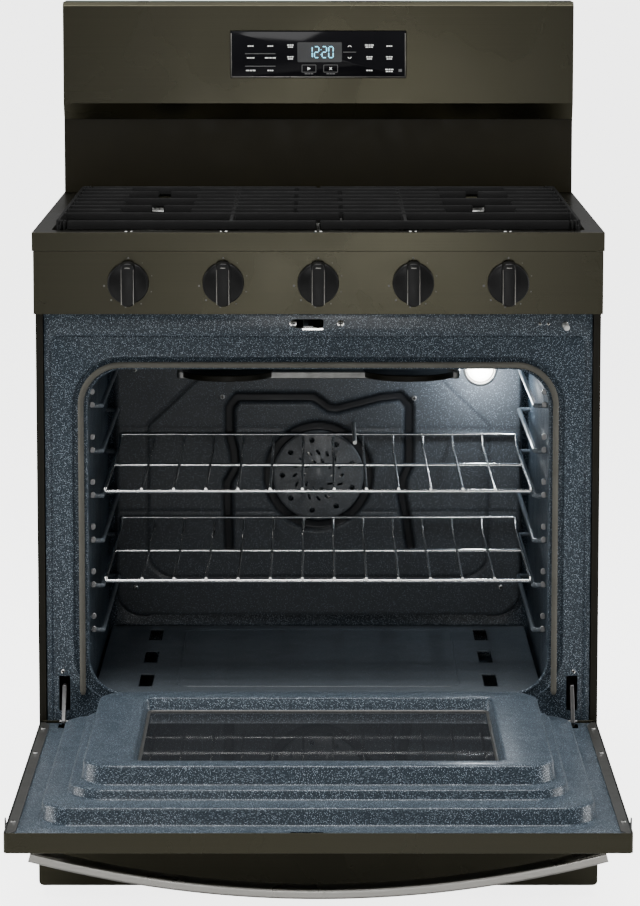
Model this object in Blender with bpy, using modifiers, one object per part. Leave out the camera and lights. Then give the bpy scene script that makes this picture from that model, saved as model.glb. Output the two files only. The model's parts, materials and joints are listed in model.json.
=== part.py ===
"""A freestanding gas range with its oven door open, in metres, +Z up.

X runs to the right, -Y is the front. The origin is under the middle of the range and its open door, on the
floor. Depths are counted back from the plane of the control panel and the closed door; see behind().
"""

import math

import bmesh
import bpy
from mathutils import Matrix, Vector

for old in list(bpy.data.objects):
    bpy.data.objects.remove(old, do_unlink=True)

# ---------------------------------------------------------------- driving dimensions

overall_width = 0.760
overall_height = 1.190
body_depth = 0.655  # control panel face to the back
cooktop_height = 0.905
touch_gap = 0.0003  # left between pieces that touch
sheet = 0.002  # sheet metal

strip_height = 0.025  # front edge of the cooktop
panel_height = 0.084  # control panel
panel_inset = 0.0015  # fronts narrower than the body, each side
panel_depth = 0.045
front_gap = 0.007  # between the control panel and the door
side_clearance = 0.0015  # open door's lower edge to the body's sides

door_bottom = 0.216
door_skin = 0.0015
door_rim_depth = 0.025  # the skin's turned edge
hinge_depth = 0.028
hinge_rise = 0.020  # hinge axis over the door's lower edge
frame_clearance = 0.004  # open door's lower edge to the oven's front frame
frame_sheet = 0.003
frame_inset = 0.011

side_space = 0.069  # oven wall to body side
rear_space = 0.155  # oven back wall to body back
oven_headroom = 0.074  # oven ceiling below the door's top edge
oven_floor_height = 0.270
burner_box = 0.048  # room for the bake burner under the oven floor
oven_corner = 0.050
oven_wall = 0.002
insulation_thickness = 0.024

liner_flange_depth = 0.022  # inner face of the liner's flat edge, closed
gasket_radius = 0.00375
gasket_outset = 0.009  # gasket centre outside the oven opening
gasket_clearance = 0.0005
plug_reach = 0.028  # how far the closed door's plug passes the front frame
plug_step_reach = 0.004
plug_step_gap = 0.003  # plug step to oven opening
plug_side_gap = 0.019
plug_top_gap = 0.034
plug_bottom_gap = 0.0035
shelf_side = 0.028  # first step outside the oven opening
shelf_top = 0.029
window_half = 0.2275
window_low = 0.318
window_high = 0.648
window_glass_depth = 0.062
glass_thickness = 0.004
outer_window_margin = 0.030

handle_thickness = 0.014
handle_width = 0.028
handle_end_inset = 0.027
handle_from_top = 0.0625
handle_end_standoff = 0.012
handle_bow = 0.051
handle_block_width = 0.054

drawer_bottom = 0.016
door_swing_gap = 0.0016  # the swinging door's lower edge over the drawer
drawer_front_depth = 0.045
drawer_box_half = 0.340
drawer_box_height = 0.125
drawer_box_rear_gap = 0.075

base_bottom = 0.022
base_top = 0.038
leg_radius = 0.016
leg_stud = 0.005
leg_clearance = 0.0006
leg_inset = 0.030

rack_wire = 0.0045
rack_wires = 12
rack_plug_gap = 0.010
rack_back_gap = 0.005
rack_side_gap = 0.0185
rack_edge_to_wire = 0.0515
rack_level_first = 0.359
rack_level_pitch = 0.062
rack_levels = 6
rack_levels_used = {"upper": 3, "lower": 1}
rack_under = 1.22 * rack_wire  # the lowest wire's underside below the rack's level
rack_lip = 0.015
guide_width = 0.026
guide_thickness = 0.003

fan_height = 0.498
fan_radius = 0.058
fan_ring_outer = 0.0815
fan_ring_inner = 0.0655
baffle_standoff = 0.018  # baffle face to oven back wall
shaft_radius = 0.004
lamp_x, lamp_height, lamp_radius = 0.238, 0.656, 0.020
sensor_x, sensor_height, sensor_radius, sensor_length = 0.052, 0.5755, 0.003, 0.200
broil_height = 0.670
broil_half = 0.198
broil_lobe_x, broil_lobe_radius = 0.127, 0.065
broil_depth = 0.250

latch_x, latch_drop = -0.016, 0.012
switch_inset, switch_drop, switch_radius = 0.048, 0.014, 0.004
slot_clearance = 0.0015
hinge_arm_inset = 0.035
hinge_arm_thickness = 0.005

knob_count, knob_pitch = 5, 0.126
knob_radius, knob_skirt, knob_grip = 0.0275, 0.008, 0.016
knob_grip_width, knob_grip_length = 0.019, 0.060
knob_travel = 0.0045
stem_radius, stem_clearance = 0.004, 0.0006
pipe_radius = 0.009
pipe_depth = 0.042

well_inset = 0.024
well_front = 0.030
well_rim_back = 0.005  # cooktop well to the backguard
well_floor = 0.890
grate_top = 0.918
bar_height = 0.013
bar_width = 0.008
grate_inset = 0.004
bars_across = 8
rear_bar_inset = 0.036
front_bar_inset = 0.114
rib_x = 0.117
finger_overlap = 0.0315
finger_gap = 0.003
burner_x = 0.224
burner_opening = 0.048  # half the gap that the bars leave over a burner
burner_notch = 0.008
grate_gaps = {  # bars that stop short of a burner, counted from the front
    0: burner_opening,
    1: burner_notch,
    2: burner_opening,
    4: burner_opening,
    5: burner_notch,
    6: burner_opening,
}
burner_radii = {"left_front": 0.046, "left_rear": 0.036, "right_front": 0.050, "right_rear": 0.036}
oval_half_width, oval_half_length = 0.032, 0.080

guard_face_depth = 0.585
guard_riser_setback = 0.013
console_bottom = 1.015
console_bevel = 0.025
console_top_bevel = 0.006
glass_half, glass_height, glass_drop = 0.130, 0.069, 0.043

# ---------------------------------------------------------------- worked out from them

half_width = overall_width / 2
front_half = half_width - panel_inset
panel_top = cooktop_height - strip_height
panel_bottom = panel_top - panel_height
door_top = panel_bottom - front_gap
hinge_height = door_bottom + hinge_rise
door_reach = door_top - hinge_height - hinge_depth  # how far the open door stands out
front_y = (door_reach - body_depth) / 2

frame_depth = hinge_depth + hinge_rise + frame_clearance  # plane of the oven's front frame
plug_depth = frame_depth + plug_reach
plug_step_depth = frame_depth + plug_step_reach
hinge_arm_x = half_width - hinge_arm_inset
switch_x = half_width - switch_inset
oven_half = half_width - side_space
oven_top = door_top - oven_headroom
oven_bottom = oven_floor_height - burner_box
oven_back = body_depth - rear_space
baffle_depth = oven_back - baffle_standoff
frame_half = half_width - frame_inset
gasket_depth = frame_depth - touch_gap - gasket_radius
shelf_depth = gasket_depth - gasket_radius - gasket_clearance
latch_height = door_top - latch_drop
switch_height = door_top - switch_drop

rack_half = oven_half - rack_side_gap
rack_front_depth = plug_depth + rack_plug_gap
rack_back_depth = baffle_depth - rack_back_gap
drawer_top = hinge_height - math.hypot(hinge_depth, hinge_rise) - door_swing_gap
drawer_box_bottom = base_top + touch_gap
drawer_box_back = body_depth - drawer_box_rear_gap
knob_height = (panel_top + panel_bottom) / 2

well_half = half_width - well_inset
well_back = guard_face_depth - well_rim_back
grate_half = well_half - grate_inset
grate_front = well_front + grate_inset + 0.002
grate_back = well_back - grate_inset
grate_bottom = grate_top - bar_height
bar_pitch = (grate_back - rear_bar_inset - grate_front - front_bar_inset) / (bars_across - 1)
bar_depths = [grate_back - rear_bar_inset - i * bar_pitch for i in range(bars_across)]
rear_burner_depth, centre_burner_depth, front_burner_depth = bar_depths[1], bar_depths[3], bar_depths[5]


def behind(depth):
    """The Y of a point this far behind the control panel's face."""
    return front_y + depth


# ---------------------------------------------------------------- collections and finishes

part_collection = bpy.data.collections.new("gas_range")
cutter_collection = bpy.data.collections.new("gas_range_cutters")
for group in (part_collection, cutter_collection):
    bpy.context.scene.collection.children.link(group)

finishes = {  # colour, roughness, metallic
    "black_stainless": ((0.075, 0.070, 0.055), 0.34, 1.0),
    "painted_black": ((0.012, 0.011, 0.009), 0.45, 0.0),
    "enamel_blue": ((0.035, 0.050, 0.068), 0.22, 0.0),
    "enamel_black": ((0.010, 0.011, 0.012), 0.25, 0.0),
    "cast_iron": ((0.014, 0.014, 0.014), 0.70, 0.0),
    "chrome_wire": ((0.62, 0.62, 0.60), 0.18, 1.0),
    "bare_steel": ((0.36, 0.36, 0.35), 0.38, 1.0),
    "aluminium": ((0.45, 0.45, 0.44), 0.45, 1.0),
    "handle_steel": ((0.24, 0.23, 0.21), 0.30, 1.0),
    "black_plastic": ((0.012, 0.012, 0.012), 0.40, 0.0),
    "black_glass": ((0.006, 0.006, 0.007), 0.06, 0.0),
    "clear_glass": ((0.05, 0.06, 0.06), 0.05, 0.0),
    "lamp_glass": ((0.90, 0.88, 0.80), 0.20, 0.0),
    "gasket_braid": ((0.10, 0.095, 0.075), 0.90, 0.0),
    "glass_wool": ((0.55, 0.50, 0.30), 0.95, 0.0),
    "white_plastic": ((0.70, 0.70, 0.68), 0.40, 0.0),
}


def make_material(name, colour, roughness, metallic):
    """A Principled material of one plain colour."""
    material = bpy.data.materials.new(name)
    material.use_nodes = True
    shader = material.node_tree.nodes["Principled BSDF"]
    shader.inputs["Base Color"].default_value = (*colour, 1.0)
    shader.inputs["Roughness"].default_value = roughness
    shader.inputs["Metallic"].default_value = metallic
    return material


materials = {name: make_material(name, *values) for name, values in finishes.items()}

# ---------------------------------------------------------------- modelling tools

axis_turns = {"X": (math.pi / 2, 0, math.pi / 2), "Y": (math.pi / 2, 0, 0), "Z": (0, 0, 0)}


def add_object(name, mesh, finish, parent):
    """Puts a mesh in the scene: a part when it has a finish, a helper for a Boolean when it has none."""
    thing = bpy.data.objects.new(name, mesh)
    if finish:
        part_collection.objects.link(thing)
        mesh.materials.clear()
        mesh.materials.append(materials[finish])
    else:
        cutter_collection.objects.link(thing)
        thing.hide_render = True
        thing.display_type = "WIRE"
    thing.parent = parent
    return thing


def box(name, low, high, finish=None, parent=None):
    """A block between two corners."""
    low, high = Vector(low), Vector(high)
    mesh = bpy.data.meshes.new(name)
    shape = bmesh.new()
    bmesh.ops.create_cube(shape, size=1.0, matrix=Matrix.Diagonal((*(high - low), 1.0)))
    shape.to_mesh(mesh)
    shape.free()
    thing = add_object(name, mesh, finish, parent)
    thing.location = (low + high) / 2
    return thing


def cylinder(name, centre, radius, length, axis, finish=None, parent=None, sides=16):
    """A cylinder with its middle at centre."""
    mesh = bpy.data.meshes.new(name)
    shape = bmesh.new()
    bmesh.ops.create_cone(
        shape, cap_ends=True, segments=sides, radius1=radius, radius2=radius, depth=length
    )
    shape.to_mesh(mesh)
    shape.free()
    thing = add_object(name, mesh, finish, parent)
    thing.location = centre
    thing.rotation_euler = axis_turns[axis]
    smooth(thing)
    return thing


def mesh_from_curve(curve, name):
    """A curve's surface as a mesh, with its caps sewn to its sides."""
    guide = bpy.data.objects.new(name, curve)
    cutter_collection.objects.link(guide)
    evaluated = guide.evaluated_get(bpy.context.evaluated_depsgraph_get())
    mesh = bpy.data.meshes.new_from_object(evaluated)
    mesh.name = name
    bpy.data.objects.remove(guide, do_unlink=True)
    bpy.data.curves.remove(curve)
    shape = bmesh.new()
    shape.from_mesh(mesh)
    bmesh.ops.remove_doubles(shape, verts=shape.verts, dist=0.00001)
    bmesh.ops.recalc_face_normals(shape, faces=shape.faces)
    shape.to_mesh(mesh)
    shape.free()
    return mesh


def plate(name, outline, low, high, axis, finish=None, parent=None):
    """A flat outline made solid between two places along an axis.

    The outline's points are (x, y) for the axis Z, (x, z) for Y and (y, z) for X.
    """
    curve = bpy.data.curves.new(name, "CURVE")
    curve.dimensions = "2D"
    curve.fill_mode = "BOTH"
    curve.extrude = (high - low) / 2
    line = curve.splines.new("POLY")
    line.points.add(len(outline) - 1)
    for point, (across, up) in zip(line.points, outline):
        point.co = (across, up, 0.0, 1.0)
    line.use_cyclic_u = True
    thing = add_object(name, mesh_from_curve(curve, name), finish, parent)
    thing.rotation_euler = axis_turns[axis]
    thing.location["XYZ".index(axis)] = (low + high) / 2
    return thing


def tube(name, points, radius, finish=None, parent=None, closed=False, resolution=2, flat=0.0):
    """A round bar along points; flat widens it into a bar with round edges."""
    curve = bpy.data.curves.new(name, "CURVE")
    curve.dimensions = "3D"
    curve.twist_mode = "Z_UP"
    curve.bevel_depth = radius
    curve.bevel_resolution = resolution
    curve.extrude = flat
    curve.use_fill_caps = True
    line = curve.splines.new("POLY")
    line.points.add(len(points) - 1)
    for point, place in zip(line.points, points):
        point.co = (*place, 1.0)
    line.use_cyclic_u = closed
    thing = add_object(name, mesh_from_curve(curve, name), finish, parent)
    smooth(thing)
    return thing


def turned(name, profile, centre, axis, finish=None, parent=None, sides=20):
    """A turned shape: profile is (radius, height) from the top of the axis down its outside."""
    mesh = bpy.data.meshes.new(name)
    edges = [(i, i + 1) for i in range(len(profile) - 1)]
    mesh.from_pydata([(radius, 0, height) for radius, height in profile], edges, [])
    thing = add_object(name, mesh, finish, parent)
    screw = thing.modifiers.new("turn", "SCREW")
    screw.steps = screw.render_steps = sides
    screw.use_merge_vertices = True
    screw.merge_threshold = 0.00001
    screw.use_smooth_shade = False
    thing.location = centre
    thing.rotation_euler = axis_turns[axis]
    return thing


def smooth(thing):
    """Smooth shading with its corners kept sharp."""
    thing.data.shade_smooth()
    thing.data.set_sharp_from_angle(angle=math.radians(35))


def combine(piece, operation, tools):
    """Cuts solids away from a piece, or joins them to it."""
    for tool in tools:
        step = piece.modifiers.new(tool.name, "BOOLEAN")
        step.operation = operation
        step.object = tool
        step.solver = "EXACT"
    return piece


def cut(piece, *tools):
    return combine(piece, "DIFFERENCE", tools)


def join(piece, *tools):
    return combine(piece, "UNION", tools)


def rounded(low_across, high_across, low_up, high_up, radius, steps=4):
    """The outline of a rectangle with round corners."""
    middles = [
        (high_across - radius, high_up - radius),
        (low_across + radius, high_up - radius),
        (low_across + radius, low_up + radius),
        (high_across - radius, low_up + radius),
    ]
    outline = []
    for corner, (across, up) in enumerate(middles):
        for step in range(steps + 1):
            angle = math.pi / 2 * (corner + step / steps)
            outline.append((across + radius * math.cos(angle), up + radius * math.sin(angle)))
    return outline


def arc(across, up, radius, start, end, steps=6):
    """Points along an arc, with its angles in degrees."""
    angles = [math.radians(start + (end - start) * step / steps) for step in range(steps + 1)]
    return [(across + radius * math.cos(angle), up + radius * math.sin(angle)) for angle in angles]


def sides_of(name):
    """The word for a side, and which way it lies along X."""
    return ((f"{name}_left", -1), (f"{name}_right", 1))


def span(side, inner, outer):
    """Two places along X on one side of the middle, lowest first."""
    return sorted((side * inner, side * outer))


# ---------------------------------------------------------------- body


def make_legs_and_base():
    """A rectangular base frame on four screwed feet."""
    front, back = frame_depth + 0.008, body_depth - sheet - 0.015
    half = half_width - sheet - 0.001
    rail = 0.055
    base = box(
        "base_frame", (-half, behind(front), base_bottom), (half, behind(back), base_top), "bare_steel"
    )
    middle = (front + back) / 2
    for number, (start, end) in enumerate(((front + rail, middle - 0.02), (middle + 0.02, back - rail))):
        low = (rail - half, behind(start), base_bottom - 0.01)
        high = (half - rail, behind(end), base_top + 0.01)
        cut(base, box(f"base_window_{number}", low, high))
    for row, depth in (("front", front + leg_inset), ("rear", back - leg_inset)):
        for name, side in sides_of(f"leveling_leg_{row}"):
            place = (side * (half - leg_inset + 0.005), behind(depth), 0)
            hole = (place[0], place[1], (base_bottom + base_top) / 2)
            cut(base, cylinder(f"{name}_hole", hole, leg_stud + leg_clearance, 0.05, "Z", sides=12))
            profile = [
                (0, base_top - 0.002),
                (leg_stud, base_top - 0.002),
                (leg_stud, 0.012),
                (leg_radius * 0.6, 0.012),
                (leg_radius, 0.006),
                (leg_radius, 0),
                (0, 0),
            ]
            turned(name, profile, place, "Z", "bare_steel", sides=12)


def make_side_panels():
    """Painted sides with a narrow edge turned in beside the oven frame."""
    low, high = base_bottom + 0.008, panel_top - 0.001
    front, back = hinge_depth + hinge_rise + side_clearance, body_depth - sheet - touch_gap
    for name, side in sides_of("side_panel"):
        near, far = span(side, half_width - sheet, half_width)
        panel = box(name, (near, behind(front), low), (far, behind(back), high), "painted_black")
        near, far = span(side, half_width - frame_inset + 0.001, half_width - sheet / 2)
        edge = box(f"{name}_edge", (near, behind(front), low), (far, behind(front + sheet), high))
        join(panel, edge)


def make_rear_panel():
    """The back cover, with rows of cooling slots and a hole for the gas inlet."""
    half = half_width - sheet - 0.0003
    low, high = base_top + 0.002, panel_top - 0.001
    panel = box(
        "rear_panel",
        (-half, behind(body_depth - sheet), low),
        (half, behind(body_depth), high),
        "bare_steel",
    )
    for row in range(3):
        for name, side in sides_of(f"rear_slot_{row}"):
            near, far = span(side, 0.07, 0.24)
            height = 0.60 + 0.045 * row
            low_corner = (near, behind(body_depth - 0.02), height)
            cut(panel, box(name, low_corner, (far, behind(body_depth + 0.02), height + 0.012)))
    inlet = (inlet_x(), behind(body_depth), knob_height)
    cut(panel, cylinder("inlet_hole", inlet, pipe_radius + 0.004, 0.05, "Y", sides=16))


def make_cooktop():
    """A pressed top with a front strip, a sunk well and five burner holes."""
    low, high = panel_top + touch_gap, cooktop_height
    top = box(
        "cooktop", (-half_width, behind(0), low), (half_width, behind(body_depth), high), "black_stainless"
    )
    inside = half_width - sheet
    under = box(
        "cooktop_under",
        (-inside, behind(sheet), low - 0.02),
        (inside, behind(body_depth - sheet), high - sheet),
    )
    tray = box(
        "cooktop_tray",
        (-well_half - sheet, behind(well_front - sheet), well_floor - sheet),
        (well_half + sheet, behind(well_back + sheet), high - sheet / 2),
    )
    well = plate(
        "cooktop_well",
        rounded(-well_half, well_half, behind(well_front), behind(well_back), 0.012, 3),
        well_floor,
        high + 0.02,
        "Z",
    )
    cut(join(cut(top, under), tray), well)
    for name, x, depth, radius in round_burners():
        hole = (x, behind(depth), well_floor)
        cut(top, cylinder(f"{name}_hole", hole, radius * 0.55 + 0.001, 0.05, "Z"))
    half, length = oval_half_width * 0.5 + 0.001, oval_half_length * 0.8 + 0.001
    outline = rounded(
        -half, half, behind(centre_burner_depth - length), behind(centre_burner_depth + length), half * 0.98
    )
    cut(top, plate("burner_centre_hole", outline, well_floor - 0.02, well_floor + 0.02, "Z"))


def round_burners():
    """Name, X, depth and radius of each round burner."""
    for place, radius in burner_radii.items():
        side = -1 if place.startswith("left") else 1
        depth = front_burner_depth if place.endswith("front") else rear_burner_depth
        yield place, side * burner_x, depth, radius


def make_burners():
    """Heads stand in the cooktop's holes, with loose caps on them."""
    seat = well_floor + touch_gap
    head_top = seat + 0.0065
    cap_top = grate_bottom - 0.0035
    for place, x, depth, radius in round_burners():
        stem = radius * 0.55
        head = [
            (0, head_top),
            (radius * 0.9, head_top),
            (radius * 0.9, seat + 0.002),
            (radius * 1.05, seat + 0.002),
            (radius * 1.05, seat),
            (stem, seat),
            (stem, seat - 0.018),
            (0, seat - 0.018),
        ]
        turned(f"burner_head_{place}", head, (x, behind(depth), 0), "Z", "aluminium")
        cap = [
            (0, cap_top),
            (radius * 0.7, cap_top),
            (radius * 0.97, cap_top - 0.0015),
            (radius * 0.97, head_top + touch_gap),
            (0, head_top + touch_gap),
        ]
        turned(f"burner_cap_{place}", cap, (x, behind(depth), 0), "Z", "cast_iron")

    def oval(scale):
        half, length = oval_half_width * scale, oval_half_length - oval_half_width * (1 - scale)
        middle = centre_burner_depth
        return rounded(-half, half, behind(middle - length), behind(middle + length), half * 0.98)

    head = plate("burner_head_centre", oval(0.9), seat, head_top, "Z", "aluminium")
    half, length = oval_half_width * 0.5, oval_half_length * 0.8
    stem = rounded(
        -half, half, behind(centre_burner_depth - length), behind(centre_burner_depth + length), half * 0.98
    )
    join(head, plate("burner_stem_centre", stem, seat - 0.018, seat + 0.003, "Z"))
    plate("burner_cap_centre", oval(0.97), head_top + touch_gap, cap_top, "Z", "cast_iron")


def make_grate(name, side):
    """One cast grate. Its fingers reach past the middle, between those of the other one."""

    def bar(label, near, far, start, end, low=grate_bottom, high=grate_top):
        left, right = span(side, near, far)
        return box(f"{name}_{label}", (left, behind(start), low), (right, behind(end), high))

    outer = grate_half
    left, right = span(side, outer - bar_width, outer)
    grate = box(
        name, (left, behind(grate_front), grate_bottom), (right, behind(grate_back), grate_top), "cast_iron"
    )
    pieces = [
        bar(
            "front_bar",
            finger_gap / 2,
            outer - 0.001,
            grate_front + 0.001,
            grate_front + bar_width,
            high=grate_top - 0.001,
        ),
        bar(
            "rear_bar",
            finger_gap / 2,
            outer - 0.001,
            grate_back - bar_width,
            grate_back - 0.001,
            high=grate_top - 0.001,
        ),
        bar(
            "rib",
            rib_x - bar_width / 2,
            rib_x + bar_width / 2,
            grate_front + 0.002,
            grate_back - 0.002,
            high=grate_top - 0.003,
        ),
    ]
    for number, depth in enumerate(bar_depths):
        reaches = (number % 2 == 1) == (side < 0)
        inner = -(finger_overlap - finger_gap / 2) if reaches else finger_overlap + finger_gap / 2
        spans = [(inner, outer - 0.001)]
        if number in grate_gaps:
            gap = grate_gaps[number]
            spans = [(inner, burner_x - gap), (burner_x + gap, outer - 0.001)]
        for piece, (near, far) in enumerate(spans):
            start, end = depth - bar_width / 2, depth + bar_width / 2
            pieces.append(
                bar(
                    f"bar_{number}_{piece}", near, far, start, end, grate_bottom + 0.001, grate_top - 0.0005
                ),
            )
    for row, depth in (("front", grate_front + 0.002), ("rear", grate_back - 0.012)):
        for column, near in (("outer", outer - 0.010), ("inner", rib_x - 0.003)):
            low, high = well_floor + touch_gap, grate_bottom + 0.004
            pieces.append(bar(f"foot_{row}_{column}", near, near + 0.007, depth, depth + 0.010, low, high))
    join(grate, *pieces)


def inlet_x():
    return front_half - 0.033


def knob_places():
    """Name and X of each knob, from the left."""
    names = ("left_front", "left_rear", "centre", "right_rear", "right_front")
    return [(name, (number - (knob_count - 1) / 2) * knob_pitch) for number, name in enumerate(names)]


def make_control_panel():
    """A folded panel, open at the back, with a hole for each valve stem."""
    panel = box(
        "control_panel",
        (-front_half, behind(0), panel_bottom),
        (front_half, behind(panel_depth), panel_top),
        "black_stainless",
    )
    low = (sheet - front_half, behind(sheet), panel_bottom + sheet)
    high = (front_half - sheet, behind(panel_depth + 0.02), panel_top - sheet)
    cut(panel, box("control_panel_inside", low, high))
    for name, x in knob_places():
        place = (x, behind(0), knob_height)
        cut(panel, cylinder(f"{name}_stem_hole", place, stem_radius + 0.002, 0.02, "Y", sides=12))


def make_gas_train():
    """The manifold pipe with its valves, the burner tubes and the pipe to the inlet, as one brazed piece."""
    start = knob_places()[0][1] - 0.03
    end = inlet_x() + pipe_radius * 0.8
    pipe = cylinder(
        "gas_manifold",
        ((start + end) / 2, behind(pipe_depth), knob_height),
        pipe_radius,
        end - start,
        "X",
        "aluminium",
        sides=12,
    )
    run_low = pipe_depth - 0.003
    run_high = body_depth
    feed = cylinder(
        "inlet_pipe",
        (inlet_x(), behind((run_low + run_high) / 2), knob_height),
        pipe_radius * 0.9,
        run_high - run_low,
        "Y",
        sides=10,
    )
    join(pipe, feed)
    targets = {name: (x, depth) for name, x, depth, radius in round_burners()}
    targets["centre"] = (0.0, centre_burner_depth)
    valve_front = sheet + 0.008
    for name, x in knob_places():
        low = (x - 0.012, behind(valve_front), knob_height - 0.014)
        high = (x + 0.012, behind(pipe_depth - pipe_radius * 0.6), knob_height + 0.014)
        join(pipe, box(f"valve_body_{name}", low, high))
        burner, depth = targets[name]
        level = well_floor - 0.030
        route = [
            (x, behind(pipe_depth), knob_height),
            (x, behind(pipe_depth), level - 0.006),
            (x + (burner - x) * 0.03, behind(pipe_depth + 0.006), level),
            (burner, behind(depth - 0.006), level),
            (burner, behind(depth), level + 0.004),
            (burner, behind(depth), well_floor - 0.018 - 0.0005),
        ]
        join(pipe, tube(f"burner_tube_{name}", route, 0.0035, resolution=1))
        bore_end = pipe_depth - pipe_radius - 0.002
        bore = (x, behind((valve_front - 0.01 + bore_end) / 2), knob_height)
        radius = stem_radius + stem_clearance
        cut(
            pipe, cylinder(f"valve_bore_{name}", bore, radius, bore_end - valve_front + 0.01, "Y", sides=12)
        )


def make_knobs():
    """Push-to-turn knobs on valve stems: a skirt with a grip bar across it."""
    back = -(knob_travel + touch_gap)
    for name, x in knob_places():
        axis = bpy.data.objects.new(f"knob_axis_{name}", None)
        part_collection.objects.link(axis)
        axis.location = (x, behind(0), knob_height)
        stem_front = back - knob_skirt - 0.004
        stem_back = pipe_depth - pipe_radius - 0.002 - knob_travel - 0.002
        middle = (0, (stem_front + stem_back) / 2, 0)
        cylinder(
            f"valve_stem_{name}",
            middle,
            stem_radius,
            stem_back - stem_front,
            "Y",
            "bare_steel",
            axis,
            sides=12,
        )
        skirt = [
            (0, knob_skirt),
            (knob_radius * 0.90, knob_skirt),
            (knob_radius, knob_skirt * 0.6),
            (knob_radius, 0),
            (0, 0),
        ]
        knob = turned(f"knob_{name}", skirt, (0, back, 0), "Y", "black_plastic", axis, sides=24)
        half, length = knob_grip_width / 2, knob_grip_length / 2
        outline = rounded(-half, half, -length, length, half * 0.6, 3)
        grip = plate(
            f"knob_grip_{name}",
            outline,
            back - knob_skirt - knob_grip,
            back - knob_skirt * 0.4,
            "Y",
            parent=axis,
        )
        bore_front = stem_front - 0.001
        bore = cylinder(
            f"knob_bore_{name}",
            (0, (bore_front + back + 0.01) / 2, 0),
            stem_radius + touch_gap,
            back + 0.01 - bore_front,
            "Y",
            parent=axis,
            sides=12,
        )
        cut(join(knob, grip), bore)


def make_backguard():
    """A dark riser with the control console in front of its upper part, and a glass touch panel in that."""
    riser = guard_face_depth + guard_riser_setback
    foot = cooktop_height + touch_gap
    top = overall_height - sheet - touch_gap
    body = box(
        "backguard_body",
        (-front_half, behind(riser), foot),
        (front_half, behind(body_depth), top),
        "painted_black",
    )
    inside = box(
        "backguard_inside",
        (sheet - front_half, behind(riser + sheet), foot - 0.02),
        (front_half - sheet, behind(body_depth - sheet), top - sheet),
    )
    cut(body, inside)
    back = riser - touch_gap
    outline = [
        (behind(back), console_bottom),
        (behind(back), overall_height - sheet),
        (behind(body_depth), overall_height - sheet),
        (behind(body_depth), overall_height),
        (behind(guard_face_depth + console_top_bevel), overall_height),
        (behind(guard_face_depth), overall_height - console_top_bevel),
        (behind(guard_face_depth), console_bottom + console_bevel),
    ]
    console = plate("backguard_console", outline, -front_half, front_half, "X", "black_stainless")
    hollow = box(
        "console_hollow",
        (sheet - front_half, behind(guard_face_depth + sheet), console_bottom + console_bevel + 0.002),
        (front_half - sheet, behind(back + 0.01), overall_height - console_top_bevel - sheet),
    )
    glass_top = overall_height - glass_drop
    hole = (
        (-glass_half, behind(guard_face_depth - 0.01), glass_top - glass_height),
        (glass_half, behind(guard_face_depth + 0.008), glass_top),
    )
    cut(console, hollow, box("console_glass_hole", *hole))
    inset = touch_gap
    box(
        "control_glass",
        (inset - glass_half, behind(guard_face_depth - 0.001), glass_top - glass_height + inset),
        (glass_half - inset, behind(guard_face_depth + 0.003), glass_top - inset),
        "black_glass",
    )


# ---------------------------------------------------------------- oven


def make_oven_cavity():
    """The enamelled front frame and oven box in one, with rack guides on its side walls."""
    half = oven_half + oven_wall
    frame_bottom = drawer_top + 0.006
    frame = box(
        "oven_cavity",
        (-frame_half, behind(frame_depth), frame_bottom),
        (frame_half, behind(frame_depth + frame_sheet), panel_bottom + 0.010),
        "enamel_blue",
    )
    outside = plate(
        "oven_outside",
        rounded(-half, half, oven_bottom - oven_wall, oven_top + oven_wall, oven_corner + oven_wall),
        behind(frame_depth + 0.001),
        behind(oven_back + oven_wall),
        "Y",
    )
    inside = plate(
        "oven_inside",
        rounded(-oven_half, oven_half, oven_bottom, oven_top, oven_corner),
        behind(frame_depth + frame_sheet),
        behind(oven_back),
        "Y",
    )
    mouth = plate(
        "oven_mouth",
        rounded(-oven_half, oven_half, oven_floor_height, oven_top, oven_corner),
        behind(frame_depth - 0.01),
        behind(frame_depth + frame_sheet + 0.002),
        "Y",
    )
    cut(join(frame, outside), inside, mouth)
    for level in range(rack_levels):
        for name, side in sides_of(f"rack_guide_{level}"):
            top = rack_level_first + level * rack_level_pitch - rack_under - touch_gap
            near, far = span(side, oven_half - guide_width, oven_half + oven_wall / 2)
            low = (near, behind(rack_front_depth + 0.004), top - guide_thickness)
            join(frame, box(name, low, (far, behind(baffle_depth - 0.012), top)))
    for name, side in sides_of("floor_ledge"):
        near, far = span(side, oven_half - 0.020, oven_half + oven_wall / 2)
        top = oven_floor_height - sheet - touch_gap
        low = (near, behind(frame_depth + frame_sheet + 0.004), top - 0.003)
        join(frame, box(name, low, (far, behind(oven_back - 0.03), top)))
    for name, side in sides_of("hinge_slot"):
        reach = hinge_arm_thickness / 2 + slot_clearance
        near, far = span(side, hinge_arm_x - reach, hinge_arm_x + reach)
        low = (near, behind(frame_depth - 0.01), hinge_height + 0.010)
        cut(frame, box(name, low, (far, behind(frame_depth + 0.02), hinge_height + 0.058)))
    cut(frame, latch_slot("frame_latch_slot", frame_depth, None, 0.010))
    place = (switch_x, behind(frame_depth), switch_height)
    cut(frame, cylinder("switch_hole", place, switch_radius + 0.001, 0.03, "Y", sides=12))
    shaft = (0, behind(oven_back), fan_height)
    cut(frame, cylinder("fan_shaft_hole", shaft, shaft_radius + 0.002, 0.02, "Y", sides=12))
    for name, place, radius in supply_pipes():
        hole = (place[0], behind(oven_back), place[1])
        cut(frame, cylinder(f"{name}_hole", hole, radius + 0.001, 0.02, "Y", sides=12))


def supply_pipes():
    """Name, (X, Z) and radius of each gas pipe that comes through the oven's back wall."""
    return (
        ("broil_supply", (0.0, broil_height), 0.006), ("bake_supply", (0.09, oven_bottom + 0.022), 0.008)
    )


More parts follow.
